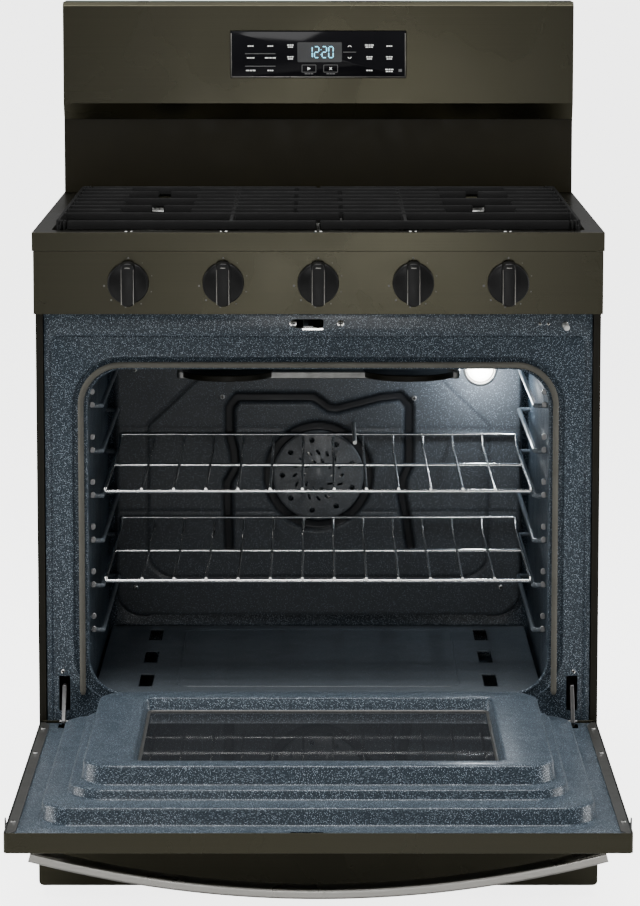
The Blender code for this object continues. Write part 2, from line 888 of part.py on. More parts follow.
def latch_slot(name, depth, parent, room):
    """The cut for the door latch, in the frame or in the door."""
    left, right = latch_x - 0.014, latch_x + room + 0.003
    low = (left, behind(depth - 0.01), latch_height - 0.007)
    high = (right, behind(depth + 0.01), latch_height + 0.007)
    return box(name, local(low, parent), local(high, parent), parent=parent)


def make_oven_floor():
    """The removable oven bottom, with slots down its sides for the heat of the bake burner."""
    half = oven_half - 0.006
    plate_low = oven_floor_height - sheet
    front, back = frame_depth + frame_sheet + 0.002, baffle_depth + 0.010
    floor = box(
        "oven_floor",
        (-half, behind(front), plate_low),
        (half, behind(back), oven_floor_height),
        "enamel_blue",
    )
    for number in range(3):
        middle = front + (back - front) * (0.17 + 0.34 * number)
        for name, side in sides_of(f"floor_slot_{number}"):
            near, far = span(side, half - 0.077, half - 0.058)
            low = (near, behind(middle - 0.038), plate_low - 0.01)
            cut(floor, box(name, low, (far, behind(middle + 0.038), oven_floor_height + 0.01)))


def make_baffle():
    """The fan cover: a shallow pan in front of the back wall, pierced in front of the fan."""
    half = oven_half - 0.011
    low, high = oven_floor_height + 0.016, oven_top - 0.015
    pan = plate(
        "oven_rear_baffle",
        rounded(-half, half, low, high, 0.040),
        behind(baffle_depth),
        behind(oven_back - touch_gap),
        "Y",
        "enamel_black",
    )
    hollow = plate(
        "baffle_hollow",
        rounded(sheet - half, half - sheet, low + sheet, high - sheet, 0.038),
        behind(baffle_depth + sheet),
        behind(oven_back + 0.01),
        "Y",
    )
    ring_middle = (0, behind(baffle_depth), fan_height)
    ring = cylinder("fan_ring", ring_middle, fan_ring_outer, 0.006, "Y", sides=28)
    ring_inside = cylinder(
        "fan_ring_inside", (0, behind(baffle_depth - 0.005), fan_height), fan_ring_inner, 0.010, "Y", sides=28
    )
    cut(join(pan, ring), ring_inside, hollow)
    for count, distance, radius in ((6, 0.018, 0.005), (12, 0.036, 0.005), (9, 0.054, 0.004)):
        for number in range(count):
            angle = 2 * math.pi * (number + 0.5) / count
            place = (
                distance * math.cos(angle), behind(baffle_depth), fan_height + distance * math.sin(angle)
            )
            cut(pan, cylinder(f"fan_hole_{count}_{number}", place, radius, 0.02, "Y", sides=6))
    lamp = (lamp_x, behind(baffle_depth), lamp_height)
    cut(pan, cylinder("baffle_lamp_hole", lamp, lamp_radius + 0.006, 0.02, "Y", sides=20))
    sensor = (sensor_x, behind(baffle_depth), sensor_height)
    cut(pan, cylinder("baffle_sensor_hole", sensor, sensor_radius + 0.002, 0.02, "Y", sides=10))
    broil = (0, behind(baffle_depth), broil_height)
    cut(pan, cylinder("baffle_broil_hole", broil, 0.006 + 0.002, 0.02, "Y", sides=12))


def make_fan():
    """A paddle fan between the baffle and the back wall, and its motor behind the wall."""
    axis = bpy.data.objects.new("fan_axis", None)
    part_collection.objects.link(axis)
    axis.location = (0, behind(oven_back), fan_height)
    front, back = sheet + 0.0015 - baffle_standoff, -0.003
    hub = cylinder(
        "fan_blade", (0, (front + back) / 2, 0), 0.011, back - front, "Y", "bare_steel", axis, sides=12
    )
    for number in range(3):
        blade = box(
            f"fan_paddle_{number}",
            (-fan_radius, front + 0.001, -0.001),
            (fan_radius, back - 0.001, 0.001),
            parent=axis,
        )
        blade.rotation_euler[1] = math.pi * number / 3 + 0.1
        join(hub, blade)
    shaft_front = back + touch_gap
    motor = cylinder(
        "fan_motor", (0, behind(oven_back + 0.036), fan_height), 0.034, 0.044, "Y", "bare_steel", sides=20
    )
    shaft_length = 0.016 - shaft_front
    place = (0, behind(oven_back + shaft_front + shaft_length / 2), fan_height)
    join(motor, cylinder("motor_shaft", place, shaft_radius, shaft_length, "Y", sides=12))
    bracket_depth = oven_back + oven_wall + touch_gap
    for name, side in sides_of("motor_foot"):
        near, far = span(side, 0.026, 0.060)
        low = (near, behind(bracket_depth), fan_height - 0.010)
        join(motor, box(name, low, (far, behind(bracket_depth + 0.016), fan_height + 0.011)))


def make_oven_fittings():
    """Lamp, temperature sensor, gasket, burners and insulation."""
    seat = oven_back - touch_gap
    lens = [
        (0, 0.030),
        (lamp_radius * 0.55, 0.027),
        (lamp_radius * 0.9, 0.018),
        (lamp_radius, 0.006),
        (lamp_radius * 1.2, 0.005),
        (lamp_radius * 1.2, 0),
        (0, 0),
    ]
    turned("lamp_lens", lens, (lamp_x, behind(seat), lamp_height), "Y", "lamp_glass")
    middle = (sensor_x, behind(seat - sensor_length / 2), sensor_height)
    probe = cylinder(
        "temperature_sensor", middle, sensor_radius, sensor_length, "Y", "bare_steel", sides=10
    )
    low = (sensor_x - 0.016, behind(seat - 0.002), sensor_height - 0.006)
    join(probe, box("sensor_flange", low, (sensor_x + 0.016, behind(seat), sensor_height + 0.006)))

    across, top = oven_half + gasket_outset, oven_top + gasket_outset * 0.72
    radius = oven_corner + 0.005
    foot = oven_floor_height - 0.004
    path = [(across, foot)] + arc(across - radius, top - radius, radius, 0, 90)
    path += arc(radius - across, top - radius, radius, 90, 180) + [(-across, foot)]
    tube("oven_gasket", [(x, behind(gasket_depth), z) for x, z in path], gasket_radius, "gasket_braid")

    bake_height = oven_bottom + 0.022
    loop = rounded(-0.17, 0.17, behind(0.13), behind(oven_back - 0.10), 0.05)
    path = [(x, y, bake_height) for x, y in loop]
    burner = tube("bake_burner", path, 0.009, "bare_steel", closed=True, resolution=1)
    name, (x, height), radius = supply_pipes()[1]
    start, end = oven_back - 0.104, oven_back + 0.040
    join(
        burner,
        cylinder("bake_pipe", (x, behind((start + end) / 2), height), radius, end - start, "Y", sides=10),
    )

    half_height = 0.005
    broil = box(
        "broil_burner",
        (-broil_half, behind(broil_depth - 0.020), broil_height - half_height),
        (broil_half, behind(broil_depth + 0.020), broil_height + half_height),
        "bare_steel",
    )
    for name, side in sides_of("broil_lobe"):
        place = (side * broil_lobe_x, behind(broil_depth), broil_height)
        join(broil, cylinder(name, place, broil_lobe_radius, 2 * half_height + 0.004, "Z", sides=24))
    for name, side in sides_of("broil_hanger"):
        near, far = span(side, broil_half - 0.018, broil_half - 0.004)
        low = (near, behind(broil_depth - 0.003), broil_height)
        join(broil, box(name, low, (far, behind(broil_depth + 0.003), oven_top - touch_gap)))
    name, (x, height), radius = supply_pipes()[0]
    start, end = broil_depth + 0.015, oven_back + 0.040
    join(
        broil,
        cylinder("broil_pipe", (x, behind((start + end) / 2), height), radius, end - start, "Y", sides=10),
    )

    inner, outer = oven_half + oven_wall + 0.001, oven_half + oven_wall + 0.001 + insulation_thickness
    top = oven_top + oven_wall + 0.001
    front, back = frame_depth + frame_sheet + 0.004, oven_back - 0.004
    wrap = box(
        "oven_insulation",
        (-outer, behind(front), oven_bottom + 0.020),
        (outer, behind(back), top + insulation_thickness),
        "glass_wool",
    )
    low, high = (-inner, behind(front - 0.02), oven_bottom - 0.02), (inner, behind(back + 0.02), top)
    cut(wrap, box("insulation_inside", low, high))


def make_rack(name, level):
    """A wire rack lying on a pair of guides, with a raised wire at its back."""
    height = rack_level_first + level * rack_level_pitch
    thick = rack_wire / 2
    cross = height - rack_under + thick
    front, back = rack_front_depth, rack_back_depth

    def wire(label, x0, x1, y0, y1, z):
        low, high = (x0 - thick, behind(y0) - thick, z - thick), (x1 + thick, behind(y1) + thick, z + thick)
        return box(f"{name}_{label}", low, high)

    edge = rack_half - thick
    low = (-edge - thick, behind(front), cross - thick)
    rack = box(name, low, (edge + thick, behind(front) + rack_wire, cross + thick), "chrome_wire")
    pieces = [
        wire("middle_rail", -edge, edge, front + 0.165, front + 0.165, cross),
        wire("back_rail", -edge, edge, back - thick, back - thick, cross),
        wire("raised_rail", -edge, edge, back - thick - 0.001, back - thick - 0.001, height + rack_lip),
    ]
    for word, side in sides_of("edge"):
        pieces.append(
            wire(word, side * edge, side * edge, front + rack_wire, back - rack_wire, height - 0.001)
        )
        low = (side * edge - thick * 0.8, behind(back) - rack_wire * 0.9, cross)
        high = (side * edge + thick * 0.8, behind(back) - rack_wire * 0.1, height + rack_lip)
        pieces.append(box(f"{name}_upright_{word}", low, high))
    reach = rack_half - rack_edge_to_wire
    for number in range(rack_wires):
        x = -reach + 2 * reach * number / (rack_wires - 1)
        pieces.append(wire(f"wire_{number}", x, x, front + rack_wire, back - rack_wire, height))
    join(rack, *pieces)


def make_latch_and_switch():
    """The door latch's hook and the plunger that feels the door."""
    pivot = bpy.data.objects.new("latch_axis", None)
    part_collection.objects.link(pivot)
    pivot.location = (latch_x, behind(latch_pivot_depth()), latch_height)
    tip = 0.012 - latch_pivot_depth()
    outline = [
        (-0.004, tip),
        (0.009, tip + 0.003),
        (0.009, tip + 0.005),
        (0.003, tip + 0.006),
        (0.003, -0.006),
        (0.008, 0.0),
        (0.008, 0.008),
        (-0.008, 0.008),
        (-0.008, 0.0),
        (-0.004, -0.006),
    ]
    plate("latch_hook", outline, -0.0015, 0.0015, "Z", "bare_steel", pivot)
    front, back = liner_flange_depth - 0.0025, frame_depth + 0.025
    middle = (switch_x, behind((front + back) / 2), switch_height)
    cylinder("door_switch_button", middle, switch_radius, back - front, "Y", "white_plastic", sides=12)


def latch_pivot_depth():
    return frame_depth + 0.028


def make_hinge_arms():
    """Steel links from the front frame down to the door's hinge pins."""
    for name, side in sides_of("door_hinge_arm"):
        near, far = span(side, hinge_arm_x - hinge_arm_thickness / 2, hinge_arm_x + hinge_arm_thickness / 2)
        y, z = behind(hinge_depth), hinge_height
        frame = behind(frame_depth)
        outline = arc(y, z, 0.007, 150, 330) + [
            (frame - 0.003, z + 0.020),
            (frame + 0.040, z + 0.026),
            (frame + 0.040, z + 0.050),
            (frame - 0.005, z + 0.046),
        ]
        arm = plate(name, outline, near, far, "X", "bare_steel")
        join(arm, cylinder(f"{name}_pin", (side * hinge_arm_x, y, z), 0.0025, 0.012, "X", sides=10))


# ---------------------------------------------------------------- door, modelled closed and then let down


def local(place, parent):
    """A place in the range's frame, counted from the closed door's hinge when it belongs to the door."""
    return Vector(place) - Vector(parent.location) if parent else Vector(place)


def make_door():
    """The door hangs on an empty on its hinge axis, which is turned to lay it open."""
    hinge = bpy.data.objects.new("door_axis", None)
    part_collection.objects.link(hinge)
    hinge.location = (0, behind(hinge_depth), hinge_height)
    hinge.rotation_euler[0] = math.pi / 2

    def slab(name, half, low, high, start, end, radius=0.0, finish=None):
        low_up, high_up = low - hinge_height, high - hinge_height
        outline = rounded(-half, half, low_up, high_up, radius)
        return plate(name, outline, start - hinge_depth, end - hinge_depth, "Y", finish, hinge)

    skin = slab(
        "door_outer_panel", front_half, door_bottom, door_top, 0, door_rim_depth, 0.005, "black_stainless"
    )
    inside = front_half - door_skin
    low, high = door_bottom + door_skin, door_top - door_skin
    hollow = slab("door_skin_inside", inside, low, high, door_skin, door_rim_depth + 0.02, 0.0035)
    margin = outer_window_margin
    window = slab(
        "door_skin_window",
        window_half + margin,
        window_low - margin,
        window_high + margin,
        -0.01,
        0.01,
        0.012,
    )
    cut(skin, hollow, window)
    start = door_skin + touch_gap
    slab(
        "door_outer_glass",
        window_half + margin + 0.015,
        window_low - margin - 0.015,
        window_high + margin + 0.015,
        start,
        start + glass_thickness,
        0.012,
        "black_glass",
    )

    edge = inside - 0.0005
    face = liner_flange_depth
    low, high = low + 0.0005, high - 0.0005
    liner = slab("door_liner", edge, low, high, face - sheet, face, 0.004, "enamel_blue")
    lip = oven_floor_height
    steps = [  # half width, low, high, face depth, corner radius
        (oven_half + shelf_side, lip - 0.012, oven_top + shelf_top, shelf_depth, 0.045),
        (oven_half - plug_step_gap, lip + plug_bottom_gap, oven_top - 0.010, plug_step_depth, oven_corner),
        (
            oven_half - plug_side_gap,
            lip + plug_bottom_gap + 0.003,
            oven_top - plug_top_gap,
            plug_depth,
            0.040,
        ),
    ]
    start = face - sheet * 0.6
    for number, (half, bottom, top, depth, radius) in enumerate(steps):
        join(liner, slab(f"liner_step_{number}", half, bottom, top, start, depth, radius))
        start = depth - sheet * 0.6
    for number, (half, bottom, top, depth, radius) in enumerate(steps):
        wall = sheet
        cut(
            liner,
            slab(
                f"liner_hollow_{number}",
                half - wall,
                bottom + wall,
                top - wall,
                face - sheet - 0.01,
                depth - wall,
                radius - wall,
            ),
        )
    seat = window_glass_depth
    well = slab(
        "window_well",
        window_half + sheet,
        window_low - sheet,
        window_high + sheet,
        seat + touch_gap,
        plug_depth - sheet / 2,
        0.010,
    )
    opening = slab(
        "window_opening", window_half, window_low, window_high, seat - 0.01, plug_depth + 0.01, 0.008
    )
    cut(join(liner, well), opening)
    slab(
        "door_inner_glass",
        window_half + 0.012,
        window_low - 0.012,
        window_high + 0.012,
        seat - glass_thickness,
        seat,
        0.010,
        "clear_glass",
    )
    cut(liner, latch_slot("liner_latch_slot", liner_flange_depth, hinge, 0.010))
    for name, side in sides_of("liner_hinge_slot"):
        reach = hinge_arm_thickness / 2 + slot_clearance
        near, far = span(side, hinge_arm_x - reach, hinge_arm_x + reach)
        low = local((near, behind(face - 0.01), hinge_height - 0.012), hinge)
        high = local((far, behind(face + 0.01), hinge_height + 0.012), hinge)
        cut(liner, box(name, low, high, parent=hinge))
    make_handle(hinge)


def make_handle(hinge):
    """A flat bar bowed out from the door, on a block at each end."""
    reach = front_half - handle_end_inset
    height = door_top - handle_from_top - hinge_height
    steps = 16
    path = []
    for step in range(steps + 1):
        across = 2 * step / steps - 1
        standoff = handle_end_standoff + handle_bow * (1 - across * across)
        path.append((across * reach, -standoff, 0))
    grip = tube(
        "door_handle",
        path,
        handle_thickness / 2,
        "handle_steel",
        hinge,
        flat=(handle_width - handle_thickness) / 2,
    )
    grip.location = (0, -hinge_depth, height)
    for name, side in sides_of("handle_block"):
        near, far = span(side, reach - handle_block_width, reach + 0.004)
        low = (near, -hinge_depth - handle_end_standoff - 0.004, height - handle_width / 2 - 0.001)
        high = (far, -hinge_depth - touch_gap, height + handle_width / 2 + 0.001)
        join(grip, box(name, low, high, parent=hinge))


def make_drawer():
    """The storage drawer under the oven: a folded front and an open box that slides on the base frame."""
    outline = rounded(-front_half, front_half, drawer_bottom, drawer_top, 0.006, 3)
    front = plate("drawer_front", outline, behind(0), behind(drawer_front_depth), "Y", "black_stainless")
    inside = rounded(
        sheet - front_half, front_half - sheet, drawer_bottom + sheet, drawer_top - sheet, 0.004, 3
    )
    cut(front, plate("drawer_front_inside", inside, behind(sheet), behind(drawer_front_depth + 0.01), "Y"))
    start, end = drawer_front_depth + touch_gap, drawer_box_back
    low, high = drawer_box_bottom, drawer_box_bottom + drawer_box_height
    tray = box(
        "drawer_box",
        (-drawer_box_half, behind(start), low),
        (drawer_box_half, behind(end), high),
        "bare_steel",
    )
    inner = drawer_box_half - sheet
    hollow = box(
        "drawer_hollow", (-inner, behind(start + sheet), low + sheet), (
            inner, behind(end - sheet), high + 0.02
        )
    )
    cut(tray, hollow)


make_legs_and_base()
make_side_panels()
make_rear_panel()
make_cooktop()
make_burners()
for grate_name, grate_side in sides_of("grate"):
    make_grate(grate_name, grate_side)
make_control_panel()
make_gas_train()
make_knobs()
make_backguard()
make_oven_cavity()
make_oven_floor()
make_baffle()
make_fan()
make_oven_fittings()
for rack_name, rack_level in rack_levels_used.items():
    make_rack(f"oven_rack_{rack_name}", rack_level)
make_latch_and_switch()
make_hinge_arms()
make_door()
make_drawer()
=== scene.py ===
import json
import math

import bmesh
import bpy
from mathutils import Matrix, Vector


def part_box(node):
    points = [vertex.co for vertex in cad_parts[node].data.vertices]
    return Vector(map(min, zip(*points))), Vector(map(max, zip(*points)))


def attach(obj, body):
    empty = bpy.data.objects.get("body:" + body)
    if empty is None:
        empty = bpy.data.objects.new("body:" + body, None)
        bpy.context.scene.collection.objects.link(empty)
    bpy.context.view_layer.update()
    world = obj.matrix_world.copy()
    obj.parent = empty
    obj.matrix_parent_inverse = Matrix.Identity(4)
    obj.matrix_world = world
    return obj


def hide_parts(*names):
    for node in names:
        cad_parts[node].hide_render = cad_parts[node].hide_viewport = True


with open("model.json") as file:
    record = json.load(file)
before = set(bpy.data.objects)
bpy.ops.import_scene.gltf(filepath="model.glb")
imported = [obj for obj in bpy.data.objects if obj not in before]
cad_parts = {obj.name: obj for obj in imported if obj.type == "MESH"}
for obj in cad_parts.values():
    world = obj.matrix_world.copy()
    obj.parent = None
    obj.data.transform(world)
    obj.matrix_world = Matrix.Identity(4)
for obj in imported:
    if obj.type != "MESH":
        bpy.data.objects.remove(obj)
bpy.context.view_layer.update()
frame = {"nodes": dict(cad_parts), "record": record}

# places that several pieces share, read from the frame

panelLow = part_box("control_panel")[0]
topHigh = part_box("cooktop")[1]
frameLow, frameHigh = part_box("oven_cavity")
floorLow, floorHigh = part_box("oven_floor")
baffleLow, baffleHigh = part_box("oven_rear_baffle")
frontY = panelLow.y
ovenHalf = floorHigh.x + 0.006
ovenTop = baffleHigh.z + 0.015
ovenFloor = floorHigh.z
ovenBackY = frameHigh.y - 0.002
cornerRadius = 0.050  # corners of the oven opening
hingeY, hingeZ = -0.037, 0.236
bodyOf = {node: body for body, nodes in frame["record"]["behaviour"]["bodies"].items() for node in nodes}


def behind(depth):  # Y of a point this far behind the control panel's face
    return frontY + depth


# mesh tools


def block(shape, low, high, edge=0.001, steps=2):
    low, high = Vector(low), Vector(high)
    place = Matrix.Translation((low + high) / 2) @ Matrix.Diagonal((*(high - low), 1.0))
    corners = bmesh.ops.create_cube(shape, size=1.0, matrix=place)["verts"]
    if edge:
        lines = list({line for corner in corners for line in corner.link_edges})
        bmesh.ops.bevel(shape, geom=lines, offset=edge, segments=steps, profile=0.5, affect="EDGES")


def loft(shape, rings, ends=(False, False), closed=True):
    rows = [[shape.verts.new(point) for point in ring] for ring in rings]
    count = len(rows[0])
    for row, after in zip(rows, rows[1:]):
        for i in range(count if closed else count - 1):
            j = (i + 1) % count
            shape.faces.new((row[i], row[j], after[j], after[i]))
    if ends[0]:
        shape.faces.new(rows[0][::-1])
    if ends[1]:
        shape.faces.new(rows[-1])


axes = {
    "X": (Vector((0, 1, 0)), Vector((0, 0, 1)), Vector((1, 0, 0))),
    "Y": (Vector((1, 0, 0)), Vector((0, 0, 1)), Vector((0, 1, 0))),
    "Z": (Vector((1, 0, 0)), Vector((0, 1, 0)), Vector((0, 0, 1))),
}


def turn(shape, profile, centre, axis="Z", steps=40):  # profile is (radius, height along the axis)
    across, up, along = axes[axis]
    rings = []
    for radius, height in profile:
        middle = Vector(centre) + along * height
        turns = [2 * math.pi * i / steps for i in range(steps)]
        rings.append([middle + (across * math.cos(t) + up * math.sin(t)) * radius for t in turns])
    loft(shape, rings, (True, True))


def extrude(shape, outline, low, high, axis, edge=0.0):  # outline lies across the axis
    across, up, along = axes[axis]
    insets = [(low, edge), (low + edge, 0), (high - edge, 0), (high, edge)] if edge else [
        (low, 0), (high, 0)
    ]
    rings = []
    count = len(outline)
    points = [Vector(point) for point in outline]
    area = sum(a.x * b.y - a.y * b.x for a, b in zip(points, points[1:] + points[:1]))
    for place, inset in insets:
        ring = []
        for i, point in enumerate(points):
            before, after = points[i - 1], points[(i + 1) % count]
            first, second = (point - before).normalized(), (after - point).normalized()
            normal = Vector((-(first + second).y, (first + second).x))
            if normal.length > 1e-6:
                normal = normal.normalized() * (1 if area > 0 else -1)
            moved = point + normal * inset
            ring.append(across * moved.x + up * moved.y + along * place)
        rings.append(ring)
    loft(shape, rings, (True, True))


def tube(shape, points, radius, sides=10, closed=False):
    points = [Vector(point) for point in points]
    count = len(points)
    side = None
    rings = []
    for i, point in enumerate(points):
        before = points[i - 1] if (closed or i) else point
        after = points[(i + 1) % count] if (closed or i < count - 1) else point
        along = (after - before).normalized()
        side = along.orthogonal() if side is None else side - along * side.dot(along)
        side.normalize()
        up = along.cross(side)
        turns = [2 * math.pi * k / sides for k in range(sides)]
        rings.append([point + (side * math.cos(t) + up * math.sin(t)) * radius for t in turns])
    if closed:
        loft(shape, rings + [rings[0]])
    else:
        loft(shape, rings, (True, True))


def rod(shape, start, end, radius, sides=8):  # a straight wire with eased ends
    start, end = Vector(start), Vector(end)
    along = (end - start).normalized()
    side = along.orthogonal().normalized()
    up = along.cross(side)
    ease = radius * 0.5
    stops = ((start, 0.55), (start + along * ease, 1), (end - along * ease, 1), (end, 0.55))
    turns = [2 * math.pi * k / sides for k in range(sides)]
    around = [side * math.cos(t) + up * math.sin(t) for t in turns]
    rings = [[at + way * radius * wide for way in around] for at, wide in stops]
    loft(shape, rings, (True, True))


def roundedRing(left, right, low, high, radius, steps=6):  # from the right, over the top
    middles = ((right - radius, high - radius), (left + radius, high - radius))
    middles += ((left + radius, low + radius), (right - radius, low + radius))
    ring = []
    for corner, (across, up) in enumerate(middles):
        for step in range(steps + 1):
            angle = math.pi / 2 * (corner + step / steps)
            ring.append((across + radius * math.cos(angle), up + radius * math.sin(angle)))
    return ring


def facing(ring, y):  # an outline set upright at one Y
    return [Vector((x, y, z)) for x, z in ring]


def addObject(name, data):
    thing = bpy.data.objects.new(name, data)
    bpy.context.scene.collection.objects.link(thing)
    return thing


def middleOf(name):  # the middle of a piece's box
    return [(low + high) / 2 for low, high in zip(*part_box(name))]


def quarter(steps):  # angles of a quarter turn
    return [math.pi / 2 * step / steps for step in range(steps + 1)]


def evaluatedMesh(thing):
    graph = bpy.context.evaluated_depsgraph_get()
    return bpy.data.meshes.new_from_object(thing.evaluated_get(graph))


def carve(thing, tools):  # cuts the shapes in tools out of a mesh for good
    mesh = bpy.data.meshes.new("cutter")
    bmesh.ops.recalc_face_normals(tools, faces=tools.faces)
    tools.to_mesh(mesh)
    tools.free()
    cutter = addObject("cutter", mesh)
    step = thing.modifiers.new("cut", "BOOLEAN")
    step.operation = "DIFFERENCE"
    step.object = cutter
    step.solver = "EXACT"
    thing.data = evaluatedMesh(thing)
    thing.modifiers.clear()
    bpy.data.objects.remove(cutter, do_unlink=True)


def shade(mesh, angle):
    mesh.shade_smooth()
    mesh.set_sharp_from_angle(angle=math.radians(angle))


def newPiece(shape, name, finish, body="root", replaced=(), angle=32, tidyNormals=True):
    if tidyNormals:
        bmesh.ops.recalc_face_normals(shape, faces=shape.faces)
    mesh = bpy.data.meshes.new(name)
    shape.to_mesh(mesh)
    shape.free()
    shade(mesh, angle)
    mesh.materials.append(materials[finish])
    thing = addObject(name, mesh)
    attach(thing, body)
    if replaced:
        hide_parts(*replaced)
    return thing


def easedCopy(node, finish, edge, steps=2, name=None, angle=28):
    # the same sheet or casting with its edges rounded
    shape = bmesh.new()
    shape.from_mesh(frame["nodes"][node].data)
    bmesh.ops.remove_doubles(shape, verts=shape.verts, dist=0.00001)
    bmesh.ops.dissolve_limit(shape, angle_limit=math.radians(0.8), verts=shape.verts, edges=shape.edges)
    thing = newPiece(
        shape, name or f"{node}_formed", finish, bodyOf[node], (node,), tidyNormals=False
    )
    bevel = thing.modifiers.new("edge", "BEVEL")
    bevel.width = edge
    bevel.segments = steps
    bevel.limit_method = "ANGLE"
    bevel.angle_limit = math.radians(angle)
    bevel.harden_normals = True
    return thing


def sides(name):
    return ((f"{name}_left", -1), (f"{name}_right", 1))


def doorPoint(x, depth, z):  # from the closed door to where the open one lies at rest
    return Vector((x, hingeY - (z - hingeZ), hingeZ + (behind(depth) - hingeY)))


print("frame loaded")

# shader groups


def newGroup(name, inputs, outputs):
    group = bpy.data.node_groups.new(name, "ShaderNodeTree")
    for label, kind, value in inputs:
        socket = group.interface.new_socket(label, in_out="INPUT", socket_type=f"NodeSocket{kind}")
        socket.default_value = value
    for label, kind in outputs:
        group.interface.new_socket(label, in_out="OUTPUT", socket_type=f"NodeSocket{kind}")
    return group, group.nodes.new("NodeGroupInput"), group.nodes.new("NodeGroupOutput")


def node(tree, kind, links=None, **settings):
    made = tree.nodes.new("ShaderNode" + kind)
    for key, value in settings.items():
        setattr(made, key, value)
    for socket, value in (links or {}).items():
        if isinstance(value, bpy.types.NodeSocket):
            tree.links.new(value, made.inputs[socket])
        else:
            made.inputs[socket].default_value = value
    return made


def math2(tree, operation, first, second, clamp=False):
    return node(tree, "Math", {0: first, 1: second}, operation=operation, use_clamp=clamp).outputs[0]


def rescale(tree, value, fromLow, fromHigh, toLow=0.0, toHigh=1.0):
    links = {"Value": value, "From Min": fromLow, "From Max": fromHigh, "To Min": toLow, "To Max": toHigh}
    return node(tree, "MapRange", links).outputs[0]


def blendColours(tree, share, first, second):
    made = node(tree, "Mix", data_type="RGBA")
    for socket, value in ((0, share), (6, first), (7, second)):
        if isinstance(value, bpy.types.NodeSocket):
            tree.links.new(value, made.inputs[socket])
        else:
            made.inputs[socket].default_value = value
    return made.outputs[2]


def buildFleckGroup():  # porcelain specks of several sizes, and its slight orange peel
    group, start, end = newGroup(
        "enamelFleck",
        (("Scale", "Float", 420.0), ("Share", "Float", 0.3), ("Peel", "Float", 60.0)),
        (("Fleck", "Float"), ("Tone", "Float"), ("Height", "Float")),
    )
    at = node(group, "TexCoord").outputs["Object"]
    total = None
    for size, strength in ((1.0, 1.0), (2.1, 0.4)):
        scale = math2(group, "MULTIPLY", start.outputs["Scale"], size)
        cells = node(group, "TexVoronoi", {"Vector": at, "Scale": scale})
        chance = node(group, "SeparateColor", {0: cells.outputs["Color"]}).outputs[0]
        near = rescale(group, cells.outputs["Distance"], 0.38, 0.20)
        chosen = math2(group, "LESS_THAN", chance, start.outputs["Share"])
        bright = math2(group, "MULTIPLY", math2(group, "MULTIPLY", near, chosen), strength)
        total = bright if total is None else math2(group, "MAXIMUM", total, bright)
    cloud = node(group, "TexNoise", {"Vector": at, "Scale": 9.0, "Detail": 3.0}).outputs[0]
    peel = node(group, "TexNoise", {"Vector": at, "Scale": start.outputs["Peel"], "Detail": 2.0}).outputs[0]
    group.links.new(total, end.inputs["Fleck"])
    group.links.new(cloud, end.inputs["Tone"])
    group.links.new(peel, end.inputs["Height"])
    return group


def buildRolledGroup():  # the fine streaks that rolling and brushing leave in sheet
    group, start, end = newGroup(
        "rolledGrain",
        (("Stretch", "Vector", (2.0, 900.0, 900.0)), ("Drift", "Float", 2.0)),
        (("Streak", "Float"), ("Drift", "Float")),
    )
    at = node(group, "TexCoord").outputs["Object"]
    factors = {0: at, 1: start.outputs["Stretch"]}
    stretched = node(group, "VectorMath", factors, operation="MULTIPLY").outputs[0]
    streak = node(group, "TexNoise", {"Vector": stretched, "Scale": 1.0, "Detail": 4.0, "Roughness": 0.65})
    drift = node(group, "TexNoise", {"Vector": at, "Scale": start.outputs["Drift"], "Detail": 2.0})
    group.links.new(streak.outputs[0], end.inputs["Streak"])
    group.links.new(drift.outputs[0], end.inputs["Drift"])
    return group


def buildGrainGroup():  # sand casting, moulded plastic, fibres
    group, start, end = newGroup(
        "surfaceGrain",
        (("Scale", "Float", 600.0), ("Pits", "Float", 0.4)),
        (("Grain", "Float"), ("Patch", "Float")),
    )
    at = node(group, "TexCoord").outputs["Object"]
    fine = node(group, "TexNoise", {"Vector": at, "Scale": start.outputs["Scale"], "Detail": 3.0}).outputs[
        0
    ]
    cells = node(group, "TexVoronoi", {"Vector": at, "Scale": start.outputs["Scale"]}).outputs["Distance"]
    pits = math2(group, "MULTIPLY", rescale(group, cells, 0.0, 0.35, 0.0, 1.0), start.outputs["Pits"])
    patch = node(group, "TexNoise", {"Vector": at, "Scale": 24.0, "Detail": 4.0}).outputs[0]
    group.links.new(math2(group, "ADD", fine, pits), end.inputs["Grain"])
    group.links.new(patch, end.inputs["Patch"])
    return group


def buildHandlingGroup():  # wiped and touched areas: a roughness that wanders between two values
    group, start, end = newGroup(
        "handling",
        (("Scale", "Float", 14.0), ("Clean", "Float", 0.2), ("Smudged", "Float", 0.3)),
        (("Roughness", "Float"),),
    )
    at = node(group, "TexCoord").outputs["Object"]
    settings = {"Vector": at, "Scale": start.outputs["Scale"], "Detail": 5.0, "Distortion": 0.6}
    smear = node(group, "TexNoise", settings)
    share = rescale(group, smear.outputs[0], 0.35, 0.7)
    ends = {"To Min": start.outputs["Clean"], "To Max": start.outputs["Smudged"]}
    between = node(group, "MapRange", {"Value": share, **ends})
    group.links.new(between.outputs[0], end.inputs["Roughness"])
    return group


def buildEdgeWearAndHighlightGroup():  # edges lightened: worn where a coat is thin or rubbed, and a painted highlight along them
    group, start, end = newGroup("edgeWearAndHighlight", (("Reach", "Float", 0.001),), (("Edge", "Float"),))
    eased = node(group, "Bevel", {"Radius": start.outputs["Reach"]}, samples=4).outputs[0]
    facet = node(group, "NewGeometry").outputs["Normal"]
    same = node(group, "VectorMath", {0: eased, 1: facet}, operation="DOT_PRODUCT").outputs["Value"]
    at = node(group, "TexCoord").outputs["Object"]
    broken = node(group, "TexNoise", {"Vector": at, "Scale": 220.0}).outputs[0]
    mask = rescale(group, same, 0.985, 0.80)
    group.links.new(math2(group, "MULTIPLY", mask, rescale(group, broken, 0.30, 0.60)), end.inputs["Edge"])
    return group


